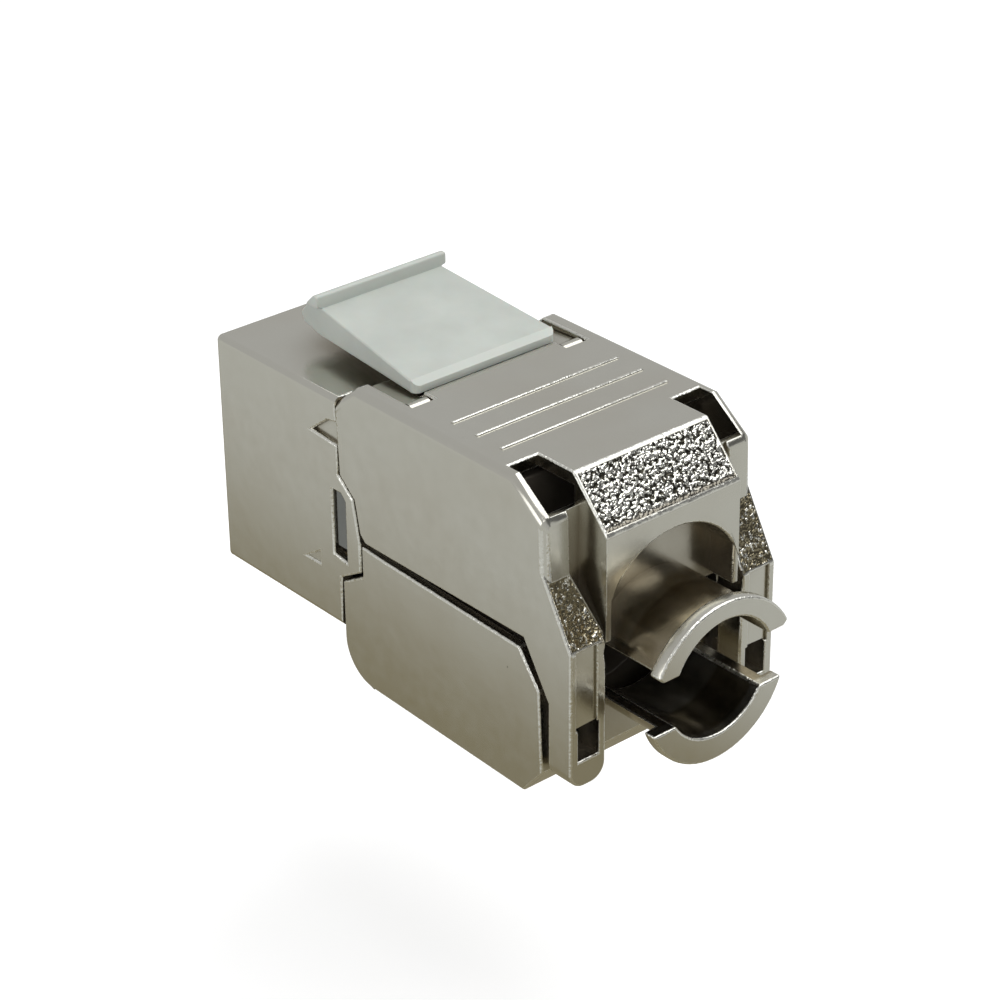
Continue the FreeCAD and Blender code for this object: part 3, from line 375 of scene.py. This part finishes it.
def cut_into_cells(piece, cell):
    """Cut the selected slanted faces into square cells, across and down the slope."""
    mesh = bmesh.new()
    mesh.from_mesh(piece.data)
    faces = [face for face in mesh.faces if face.select]
    slack, merge = 0.1 * cell, 0.02 * cell
    down = Vector((0.0, faces[0].normal.z, -faces[0].normal.y)).normalized()
    for along in (Vector((1.0, 0.0, 0.0)), down):
        spots = [vertex.co.dot(along) for face in faces for vertex in face.verts]
        low, high = min(spots), max(spots)
        for step in range(1, int((high - low) / cell)):
            here = low + step * cell
            crossed = [face for face in faces
                       if min(v.co.dot(along) for v in face.verts) < here - slack
                       and max(v.co.dot(along) for v in face.verts) > here + slack]
            if crossed:
                whole = {item for face in crossed for item in (*face.verts, *face.edges, face)}
                made = bmesh.ops.bisect_plane(mesh, geom=list(whole), dist=merge,
                                              plane_co=along * here, plane_no=along)
                faces = list(({face for face in faces if face.is_valid}
                              | {g for g in made["geom"] if isinstance(g, bmesh.types.BMFace)}))
    for face in faces:
        face.select = True
    mesh.to_mesh(piece.data)
    mesh.free()


def spark_texture(grain):
    """The cloudy height map of the grain, made once."""
    texture = bpy.data.textures.get("spark_grain")
    if texture is None:
        texture = bpy.data.textures.new("spark_grain", "CLOUDS")
        texture.noise_scale = grain.pitch
        texture.noise_depth = 1
        texture.contrast = grain.contrast
    return texture


def grain_face(piece, grain, wanted, slot):
    """Give the wanted flat faces a fine mesh, their own material slot and real grain."""
    if not pick_faces(piece, wanted):
        raise RuntimeError("no face to grain on " + piece.name)
    piece.active_material_index = slot
    bpy.ops.mesh.inset(thickness=grain.border, use_individual=True)
    bpy.ops.object.material_slot_assign()
    bpy.ops.object.mode_set(mode="OBJECT")
    cut_into_cells(piece, grain.cell)
    bpy.ops.object.mode_set(mode="EDIT")
    bpy.ops.mesh.select_less()
    bpy.ops.object.mode_set(mode="OBJECT")
    inner = [v.index for v in piece.data.vertices if v.select]
    group = piece.vertex_groups.new(name="grain")
    group.add(inner, 1.0, "REPLACE")
    lumps = piece.modifiers.new("grain", "DISPLACE")
    lumps.texture = spark_texture(grain)
    lumps.texture_coords = "LOCAL"
    lumps.direction = "NORMAL"
    lumps.mid_level = grain.ground
    lumps.strength = grain.height
    lumps.vertex_group = group.name
    bpy.ops.object.modifier_apply(modifier=lumps.name)
    piece.vertex_groups.clear()


def stand_for(piece, node, body):
    """The piece takes the place of a CAD node, on its body."""
    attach(piece, body)
    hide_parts(node)


def body_of(node):
    """The moving body that a CAD node belongs to."""
    for body, nodes in frame["record"]["behaviour"]["bodies"].items():
        if node in nodes:
            return body
    raise RuntimeError("no body holds " + node)


def slot_of(node):
    """The material slot that the record gives a CAD node."""
    for part in frame["record"]["subparts"]:
        if part["node"] == node:
            return part["material_slot"]
    raise RuntimeError("no slot is stated for " + node)


# ---------------------------------------------------------------- material helpers

def shade(tint, factor, lift=0.0):
    """A darker or lighter shade of a colour."""
    return [min(1.0, channel * factor + lift) for channel in tint]


class Finish:
    """A node material under construction: shader, coordinates and the last bump."""

    def __init__(self, name):
        self.material = bpy.data.materials.new(name)
        self.material.use_nodes = True
        self.tree = self.material.node_tree
        self.shader = self.tree.nodes["Principled BSDF"]
        self.place = self.node("ShaderNodeTexCoord").outputs["Object"]
        self.bump_end = None

    def node(self, kind, **settings):
        """A new node with its properties set."""
        made = self.tree.nodes.new(kind)
        for key, value in settings.items():
            setattr(made, key, value)
        return made

    def link(self, start, end):
        """Join an output to an input."""
        self.tree.links.new(start, end)

    def set(self, **sockets):
        """Set plain values on the shader's own sockets."""
        for key, value in sockets.items():
            self.shader.inputs[key.replace("_", " ")].default_value = value

    def noise(self, size, detail=3.0):
        """Noise whose lumps are about this many metres across."""
        made = self.node("ShaderNodeTexNoise")
        made.inputs["Scale"].default_value = 1.0 / size
        made.inputs["Detail"].default_value = detail
        made.inputs["Roughness"].default_value = 0.55
        self.link(self.place, made.inputs["Vector"])
        return made.outputs["Fac"]

    def ramp(self, source, low, high, start=0.0, end=1.0):
        """Map a value between two levels onto another range."""
        made = self.node("ShaderNodeMapRange")
        for key, value in (("From Min", low), ("From Max", high), ("To Min", start),
                           ("To Max", end)):
            made.inputs[key].default_value = value
        self.link(source, made.inputs["Value"])
        return made.outputs["Result"]

    def mix(self, share_of, first, second):
        """Blend two colours, each a plain colour or an output."""
        made = self.node("ShaderNodeMix", data_type="RGBA")
        for key, value in (("A", first), ("B", second)):
            socket = [s for s in made.inputs if s.name == key and s.type == "RGBA"][0]
            if isinstance(value, bpy.types.NodeSocket):
                self.link(value, socket)
            else:
                socket.default_value = (*value, 1.0)
        self.link(share_of, made.inputs["Factor"])
        return [s for s in made.outputs if s.type == "RGBA"][0]

    def multiply(self, first, second):
        """Product of two values, the second an output or a number."""
        made = self.node("ShaderNodeMath", operation="MULTIPLY")
        self.link(first, made.inputs[0])
        if isinstance(second, bpy.types.NodeSocket):
            self.link(second, made.inputs[1])
        else:
            made.inputs[1].default_value = second
        return made.outputs[0]

    def along(self, axis):
        """One of the object coordinates, by its letter."""
        made = self.node("ShaderNodeSeparateXYZ")
        self.link(self.place, made.inputs["Vector"])
        return made.outputs[axis]

    def openness(self, reach):
        """A mask that is black far inside hollows this wide and white in the open; it places
        painted shade.
        """
        made = self.node("ShaderNodeAmbientOcclusion", samples=8)
        made.inputs["Distance"].default_value = reach
        return made.outputs["AO"]

    def specks(self, spacing, size):
        """A mask of small dots, only where a coarser noise is high."""
        dots = self.node("ShaderNodeTexVoronoi", feature="F1")
        dots.inputs["Scale"].default_value = 1.0 / spacing
        self.link(self.place, dots.inputs["Vector"])
        rim = size / spacing
        core = 0.6 * rim
        spot = self.ramp(dots.outputs["Distance"], rim, core)
        none, full = 0.56, 0.60
        return self.multiply(spot, self.ramp(self.noise(2.0 * spacing, 1.0), none, full))

    def edge_wear_and_sheen(self):
        """A mask that is white on outer edges, for lighter edges that are partly wear and partly a
        painted highlight.
        """
        flat, corner = 0.51, 0.60
        made = self.node("ShaderNodeNewGeometry")
        return self.ramp(made.outputs["Pointiness"], flat, corner)

    def bump(self, source, depth):
        """Add a layer of relief of this depth in metres."""
        made = self.node("ShaderNodeBump")
        made.inputs["Distance"].default_value = depth
        self.link(source, made.inputs["Height"])
        if self.bump_end:
            self.link(self.bump_end, made.inputs["Normal"])
        self.bump_end = made.outputs["Normal"]
        self.link(self.bump_end, self.shader.inputs["Normal"])

    def colour_from(self, output):
        """Feed the base colour."""
        self.link(output, self.shader.inputs["Base Color"])

    def uneven_gloss(self, size, low, high, detail=3.0):
        """Let the roughness wander between two values over lumps of this size."""
        self.roughness_from(self.noise(size, detail), low, high)

    def roughness_from(self, noise, low, high):
        """Feed the roughness with a noise, spread between two values."""
        self.link(self.ramp(noise, *NOISE_BAND, low, high), self.shader.inputs["Roughness"])


def nickel_plate():
    """Satin nickel plate on a casting: faint waves, warm patches, painted shade far inside
    hollows, a painted brown shade on the cable collar, rare specks.
    """
    colours, plate = bpy.context.scene.jack_colours, bpy.context.scene.jack_plate
    finish = Finish("nickel_plate")
    patch_rim, patch_core, warmth = 0.42, 0.72, 0.25
    patches = finish.ramp(finish.noise(plate.patch, 2.0), patch_rim, patch_core, 0.0, warmth)
    body = finish.mix(patches, colours.nickel, colours.tarnish_and_shade)
    # Painted shade: a band of the cable collar is browned from behind the legs to the flange.
    place = finish.along("Y")
    tube_shade = finish.multiply(
        finish.ramp(place, plate.tube_start, plate.tube_start + plate.leg_fade),
        finish.ramp(place, plate.tube_end, plate.tube_end - plate.flange_fade))
    body = finish.mix(tube_shade, body, colours.tube_shade)
    body = finish.mix(finish.specks(plate.speck_gap, plate.speck), body, shade(colours.hollow_shade, 0.4))
    # Painted shade: far inside hollows the colour turns dark and the plate is made less metallic.
    opened = finish.openness(plate.hollow_shade_reach)
    dull, unshaded = 0.20, 0.85
    finish.colour_from(finish.mix(finish.ramp(opened, dull, unshaded), colours.hollow_shade, body))
    closed, plated, least = 0.05, 0.32, 0.25
    finish.link(finish.ramp(opened, closed, plated, least), finish.shader.inputs["Metallic"])
    finish.uneven_gloss(plate.cloud, 0.17, 0.25, detail=4.0)
    finish.bump(finish.noise(plate.wave, 2.0), plate.wave_depth)
    finish.bump(finish.noise(plate.ripple, 2.0), plate.ripple_depth)
    return finish.material


def polished_edge():
    """Bright, slightly beaded plate on the rounded edges of the castings; its brightness is partly
    a painted highlight, and edges along narrow gaps get painted shade.
    """
    colours, plate = bpy.context.scene.jack_colours, bpy.context.scene.jack_plate
    finish = Finish("nickel_edge")
    finish.set(Metallic=1.0)
    # Painted shade: along narrow gaps the edge colour turns to the warm patch colour.
    dull, bright = 0.10, 0.50
    opened = finish.ramp(finish.openness(plate.crease_shade_reach), dull, bright)
    finish.colour_from(finish.mix(opened, colours.tarnish_and_shade, colours.edge))
    finish.uneven_gloss(plate.haze, 0.25, 0.33)
    finish.bump(finish.noise(plate.bead, 1.0), plate.bead_depth)
    return finish.material


def eroded_nickel(name, ground, low, high, foot):
    """Plate over eroded grain: bright lumps between two noise levels are painted glints, and below
    the foot the colour is painted shade.
    """
    scene = bpy.context.scene
    colours, plate, grain = scene.jack_colours, scene.jack_plate, scene.jack_grain
    finish = Finish(name)
    finish.set(Metallic=1.0)
    lumps = finish.noise(plate.lump, 1.0)
    # Painted glints and shade: lumps turn near white over the ground colour.
    body = finish.mix(finish.ramp(lumps, low, high), ground, shade(colours.edge, 1.25))
    # Painted shade: below the foot the colour turns to a dark warm brown.
    lit = finish.ramp(finish.along("Z"), foot, foot + grain.foot_fade)
    finish.colour_from(finish.mix(lit, shade(colours.tarnish_and_shade, 0.4), body))
    finish.uneven_gloss(plate.haze, 0.12, 0.20)
    finish.bump(lumps, plate.lump_depth)
    return finish.material


def nose_nickel():
    """Even bright and dark grain of the nose, its dark pit colour painted shade and its bright
    lumps painted glints.
    """
    scene = bpy.context.scene
    return eroded_nickel("nickel_nose", scene.jack_colours.pit_shade, 0.43, 0.51,
                         scene.jack_grain.foot)


def slope_nickel():
    """Dull grain with rare bright lumps, on the leg slopes; the lumps are painted glints."""
    return eroded_nickel("nickel_slope", bpy.context.scene.jack_colours.slope, 0.59, 0.64,
                         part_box("upper_shell")[0].z)


def plastic(name, tint, gloss, grain_size, grain_depth, dust=0.0):
    """Moulded plastic with faint grain, uneven gloss, lighter edges that are partly wear and
    partly a painted highlight, and, if asked, a few dust specks.
    """
    finish = Finish(name)
    clouds = finish.ramp(finish.noise(3.0 * MM), *NOISE_BAND)
    body = finish.mix(clouds, shade(tint, 0.93), shade(tint, 1.05))
    if dust:
        specks = finish.multiply(finish.specks(1.1 * MM, 0.055 * MM), dust)
        body = finish.mix(specks, body, shade(tint, 0.35))
    # Lighter edges: partly wear, partly a painted highlight.
    wear_and_sheen = finish.multiply(finish.edge_wear_and_sheen(), 0.5)
    finish.colour_from(finish.mix(wear_and_sheen, body, shade(tint, 1.12, 0.01)))
    finish.uneven_gloss(0.7 * MM, gloss - 0.05, gloss + 0.07)
    finish.bump(finish.noise(grain_size), grain_depth)
    return finish


def latch_plastic():
    """Pale glossy moulding of the latch, slightly translucent."""
    finish = plastic("latch_plastic", bpy.context.scene.jack_colours.latch, 0.34, 0.25 * MM,
                     0.002 * MM, dust=0.6)
    finish.set(Subsurface_Weight=0.12, Subsurface_Scale=0.4 * MM)
    return finish.material


def insert_plastic():
    """Black moulding of the plug insert."""
    return plastic("insert_plastic", bpy.context.scene.jack_colours.insert, 0.42, 0.15 * MM,
                   0.004 * MM).material


def manager_plastic():
    """Dark brown moulding of the wire manager, a little coarser."""
    return plastic("manager_plastic", bpy.context.scene.jack_colours.manager, 0.50, 0.20 * MM,
                   0.006 * MM).material


def block_plastic():
    """Grey moulding that carries the blades."""
    return plastic("block_plastic", bpy.context.scene.jack_colours.block, 0.45, 0.20 * MM,
                   0.004 * MM).material


def board_laminate():
    """Coated glass laminate: weave under a glossy green coat."""
    tint = bpy.context.scene.jack_colours.board
    finish = Finish("board_laminate")
    threads = []
    for bands in ("X", "Z"):
        wave = finish.node("ShaderNodeTexWave", wave_type="BANDS", bands_direction=bands)
        wave.inputs["Scale"].default_value = 1.0 / (0.9 * MM)
        finish.link(finish.place, wave.inputs["Vector"])
        threads.append(wave.outputs["Fac"])
    weave = finish.multiply(*threads)
    finish.colour_from(finish.mix(weave, shade(tint, 0.8), shade(tint, 1.3)))
    finish.uneven_gloss(0.8 * MM, 0.25, 0.40)
    finish.bump(weave, 0.004 * MM)
    return finish.material


def metal(name, tint, roughness, streak):
    """Plated or rolled metal with streaks along its length and brighter edges, partly wear and
    partly a painted highlight.
    """
    finish = Finish(name)
    finish.set(Metallic=1.0)
    mapping = finish.node("ShaderNodeMapping")
    mapping.inputs["Scale"].default_value = (1.0, 0.08, 1.0)
    finish.link(finish.place, mapping.inputs["Vector"])
    noise = finish.node("ShaderNodeTexNoise")
    noise.inputs["Scale"].default_value = 1.0 / streak
    finish.link(mapping.outputs["Vector"], noise.inputs["Vector"])
    streaks = noise.outputs["Fac"]
    body = finish.mix(streaks, shade(tint, 0.86), shade(tint, 1.1))
    # Lighter edges: partly wear, partly a painted highlight.
    wear_and_sheen = finish.multiply(finish.edge_wear_and_sheen(), 0.6)
    finish.colour_from(finish.mix(wear_and_sheen, body, shade(tint, 1.25)))
    finish.roughness_from(streaks, roughness - 0.05, roughness + 0.08)
    finish.bump(streaks, 0.002 * MM)
    return finish.material


def gold_plate():
    """Thin gold on the contact wires."""
    return metal("gold_plate", bpy.context.scene.jack_colours.gold, 0.20, 0.12 * MM)


def tin_plate():
    """Dull tin on the blades."""
    return metal("tin_plate", bpy.context.scene.jack_colours.tin, 0.32, 0.15 * MM)


def ground_steel():
    """Ground pins."""
    return metal("ground_steel", bpy.context.scene.jack_colours.steel, 0.25, 0.05 * MM)


def rolled_steel():
    """Rolled spring sheet."""
    return metal("rolled_steel", bpy.context.scene.jack_colours.steel, 0.28, 0.10 * MM)


FINISHES = {
    "nickel_cast": nickel_plate, "latch_plastic": latch_plastic, "insert_plastic": insert_plastic,
    "pale_plastic": block_plastic, "manager_plastic": manager_plastic,
    "board_laminate": board_laminate, "gold_contact": gold_plate, "tinned_blade": tin_plate,
    "steel_pin": ground_steel, "spring_sheet": rolled_steel,
}


def finish_for(slot):
    """The material of a slot, made once."""
    material = bpy.data.materials.get("jack_" + slot)
    if material is None:
        material = FINISHES[slot]()
        material.name = "jack_" + slot
    return material


def dress(node, width, *finishes):
    """Rounded copy of a CAD node, standing for it; the second finish goes on its edges."""
    piece = copy_node(node, node + "_dressed")
    for material in finishes or (finish_for(slot_of(node)),):
        piece.data.materials.append(material)
    round_edges(piece, width, bpy.context.scene.jack_edges,
                EDGE_SLOT if finishes else PLATE_SLOT)
    smooth_shade(piece)
    stand_for(piece, node, body_of(node))
    return piece


# ---------------------------------------------------------------- operators

class JACK_OT_castings(bpy.types.Operator):
    """Dress the front housing and the lower shell in satin nickel with bright edges"""
    bl_idname = "jack.castings"
    bl_label = "Housing and lower shell"

    def execute(self, context):
        width = context.scene.jack_edges.casting
        edge = polished_edge()
        dress("front_housing", width, finish_for("nickel_cast"), edge)
        dress("lower_shell", width, finish_for("nickel_cast"), edge)
        return {"FINISHED"}


class JACK_OT_upper_shell(bpy.types.Operator):
    """Dress the upper shell, with eroded grain on its nose and its two leg slopes"""
    bl_idname = "jack.upper_shell"
    bl_label = "Upper shell"

    def execute(self, context):
        scene = context.scene
        piece = dress("upper_shell", scene.jack_edges.casting, finish_for("nickel_cast"),
                      bpy.data.materials["nickel_edge"], nose_nickel(), slope_nickel())
        leans_back, faces_up = 0.45, 0.3
        smallest = 4.0 * MM * MM
        rear_of_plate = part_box("wire_manager")[1].y
        off_middle = 1.0 * MM

        def sloped(face):
            back_and_up = face.normal.y > leans_back and face.normal.z > faces_up
            return back_and_up and face.area > smallest and face.center.y > rear_of_plate

        def on_nose(face):
            return sloped(face) and abs(face.center.x) < off_middle

        def on_leg(face):
            return sloped(face) and abs(face.center.x) > off_middle

        grain_face(piece, scene.jack_grain, on_nose, NOSE_SLOT)
        grain_face(piece, scene.jack_grain, on_leg, SLOPE_SLOT)
        smooth_shade(piece)
        return {"FINISHED"}


class JACK_OT_latch(bpy.types.Operator):
    """Dress the panel latch as a pale glossy moulding with rounded edges"""
    bl_idname = "jack.latch"
    bl_label = "Panel latch"

    def execute(self, context):
        dress("latch", context.scene.jack_edges.latch)
        return {"FINISHED"}


class JACK_OT_mouldings(bpy.types.Operator):
    """Dress the plug insert, blade carrier, wire manager and circuit board"""
    bl_idname = "jack.mouldings"
    bl_label = "Inner mouldings"

    def execute(self, context):
        for node in ("port_insert", "idc_block", "wire_manager"):
            dress(node, context.scene.jack_edges.moulding)
        dress("circuit_board", context.scene.jack_edges.wire)
        return {"FINISHED"}


class JACK_OT_metalwork(bpy.types.Operator):
    """Dress the contacts, blades, shield springs and hinge pins"""
    bl_idname = "jack.metalwork"
    bl_label = "Contacts, blades and pins"

    def execute(self, context):
        kinds = ("contact_", "idc_blade_", "shield_spring_", "upper_hinge_pins",
                 "lower_hinge_pins")
        for node in sorted(frame["nodes"]):
            if node.startswith(kinds):
                dress(node, context.scene.jack_edges.wire)
        return {"FINISHED"}


def add_lamp(name, side, distance, width, radiance, target):
    """A round soft lamp of a given radiance, on one side of the target and facing it."""
    place = target + Vector(side).normalized() * distance
    bpy.ops.object.light_add(type="AREA", location=place)
    lamp = bpy.context.object
    lamp.name = name
    lamp.data.shape = "DISK"
    lamp.data.size = width
    lamp.data.energy = radiance * math.pi * math.pi * (width / 2) ** 2
    lamp.rotation_euler = (target - place).to_track_quat("-Z", "Y").to_euler()


def swing_floor(drop):
    """The level this far below the lower shell when it hangs fully open."""
    low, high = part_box("lower_shell")
    pin = next(Vector(j["pos_m"]) for j in frame["joints"] if j["child"] == body_of("lower_shell"))
    return pin.z - math.hypot(high.y - pin.y, low.z - pin.z) - drop


def add_floor(stage):
    """Plain pale paper: white to the camera but for the shadow; to the metal it shows a painted
    reflection, darker and browner close by the jack.
    """
    bpy.ops.mesh.primitive_plane_add(size=stage.floor_size,
                                     location=(0.0, 0.0, swing_floor(stage.floor_drop)))
    paper = bpy.context.object
    paper.name = "floor"
    finish = Finish("floor_paper")
    finish.tree.nodes.remove(finish.shader)
    rays = finish.node("ShaderNodeLightPath")
    diffuse = finish.node("ShaderNodeBsdfDiffuse")
    diffuse.inputs["Color"].default_value = (*stage.floor_colour, 1.0)
    glow = finish.node("ShaderNodeEmission")
    finish.link(finish.multiply(rays.outputs["Is Camera Ray"], stage.floor_glow),
                glow.inputs["Strength"])
    seen = finish.node("ShaderNodeAddShader")
    finish.link(diffuse.outputs[0], seen.inputs[0])
    finish.link(glow.outputs[0], seen.inputs[1])
    # Painted reflection: glossy rays see the floor glow darker and browner near the jack, in place
    # of its lit colour.
    beside = finish.node("ShaderNodeMath", operation="SUBTRACT")
    finish.link(finish.along("X"), beside.inputs[0])
    beside.inputs[1].default_value = stage.near_middle
    away = finish.node("ShaderNodeMath", operation="ABSOLUTE")
    finish.link(beside.outputs[0], away.inputs[0])
    spread = finish.ramp(away.outputs[0], stage.near_reach, stage.far_reach)
    painted_reflection = finish.node("ShaderNodeEmission")
    finish.link(finish.mix(spread, stage.near_floor_shade, stage.floor_far), painted_reflection.inputs["Color"])
    either = finish.node("ShaderNodeMixShader")
    finish.link(rays.outputs["Is Glossy Ray"], either.inputs["Fac"])
    finish.link(seen.outputs[0], either.inputs[1])
    finish.link(painted_reflection.outputs[0], either.inputs[2])
    finish.link(either.outputs[0], finish.tree.nodes["Material Output"].inputs["Surface"])
    paper.data.materials.append(finish.material)


def add_room(stage):
    """Even pale room, white to the camera, with one dark side for the metal to mirror."""
    world = bpy.data.worlds.new("room")
    world.use_nodes = True
    bpy.context.scene.world = world
    tree = world.node_tree
    dark_rim, dark_core = 0.62, 0.93
    facing = tree.nodes.new("ShaderNodeVectorMath")
    facing.operation = "DOT_PRODUCT"
    tree.links.new(tree.nodes.new("ShaderNodeTexCoord").outputs["Generated"], facing.inputs[0])
    facing.inputs[1].default_value = Vector(stage.dark_side).normalized()
    fade = tree.nodes.new("ShaderNodeMapRange")
    fade.interpolation_type = "SMOOTHSTEP"
    for key, value in (("From Min", dark_rim), ("From Max", dark_core),
                       ("To Min", stage.ambient), ("To Max", stage.ambient * stage.dark_level)):
        fade.inputs[key].default_value = value
    tree.links.new(facing.outputs["Value"], fade.inputs["Value"])
    rays = tree.nodes.new("ShaderNodeLightPath")
    pick = tree.nodes.new("ShaderNodeMix")
    pick.data_type = "FLOAT"
    tree.links.new(rays.outputs["Is Camera Ray"], pick.inputs["Factor"])
    tree.links.new(fade.outputs["Result"], pick.inputs["A"])
    pick.inputs["B"].default_value = stage.white
    background = tree.nodes["Background"]
    background.inputs["Color"].default_value = (1.0, 1.0, 1.0, 1.0)
    tree.links.new(pick.outputs[0], background.inputs["Strength"])


def add_camera(stage, target):
    """Camera at its angles round the jack, offset a little in its own picture plane."""
    bpy.ops.object.camera_add()
    camera = bpy.context.object
    camera.name = "view"
    turn = (Matrix.Rotation(stage.azimuth, 4, "Z")
            @ Matrix.Rotation(math.pi / 2 - stage.elevation, 4, "X")
            @ Matrix.Rotation(stage.roll, 4, "Z"))
    place = target + turn.to_3x3() @ Vector((stage.aside, stage.rise, stage.distance))
    camera.matrix_world = Matrix.Translation(place) @ turn
    camera.data.lens = stage.lens
    nearest, farthest = 0.05, 60.0
    camera.data.clip_start = stage.distance * nearest
    camera.data.clip_end = stage.distance * farthest
    bpy.context.scene.camera = camera


class JACK_OT_stage(bpy.types.Operator):
    """Set up the pale floor, the soft lamps and the camera"""
    bl_idname = "jack.stage"
    bl_label = "Stage"

    def execute(self, context):
        stage = context.scene.jack_stage
        low, high = CAD_BOX
        middle = (low + high) / 2
        add_floor(stage)
        add_room(stage)
        for name, side, width, radiance in (
                ("lamp_overhead", stage.overhead_side, stage.overhead_width, stage.overhead),
                ("lamp_end", stage.end_side, stage.end_width, stage.end_lamp),
                ("lamp_fill", stage.fill_side, stage.fill_width, stage.fill)):
            add_lamp(name, side, stage.lamp_distance, width, radiance, middle)
        add_camera(stage, middle)
        context.scene.view_settings.view_transform = "Standard"
        return {"FINISHED"}


class JACK_PT_panel(bpy.types.Panel):
    """Keystone jack"""
    bl_label = "Keystone jack"
    bl_idname = "JACK_PT_panel"
    bl_space_type = "VIEW_3D"
    bl_region_type = "UI"
    bl_category = "Keystone jack"

    def draw(self, context):
        layout = self.layout
        for group_name, group in GROUPS.items():
            box = layout.box()
            for name in group.__annotations__:
                box.prop(getattr(context.scene, group_name), name)
        for operator in OPERATORS:
            layout.operator(operator.bl_idname)


GROUPS = {"jack_edges": JackEdges, "jack_grain": JackGrain, "jack_plate": JackPlate,
          "jack_colours": JackColours, "jack_stage": JackStage}
OPERATORS = (JACK_OT_castings, JACK_OT_upper_shell, JACK_OT_latch, JACK_OT_mouldings,
             JACK_OT_metalwork, JACK_OT_stage)


def register():
    """Register the property groups, the operators and the panel."""
    for name, group in GROUPS.items():
        bpy.utils.register_class(group)
        setattr(bpy.types.Scene, name, PointerProperty(type=group))
    for made in (*OPERATORS, JACK_PT_panel):
        bpy.utils.register_class(made)


def unregister():
    """Undo register."""
    for made in reversed((*OPERATORS, JACK_PT_panel)):
        bpy.utils.unregister_class(made)
    for name, group in GROUPS.items():
        delattr(bpy.types.Scene, name)
        bpy.utils.unregister_class(group)


def main():
    """Build every piece."""
    register()
    bpy.ops.jack.castings()
    bpy.ops.jack.upper_shell()
    bpy.ops.jack.latch()
    bpy.ops.jack.mouldings()
    bpy.ops.jack.metalwork()
    bpy.ops.jack.stage()


if __name__ == "__main__":
    main()
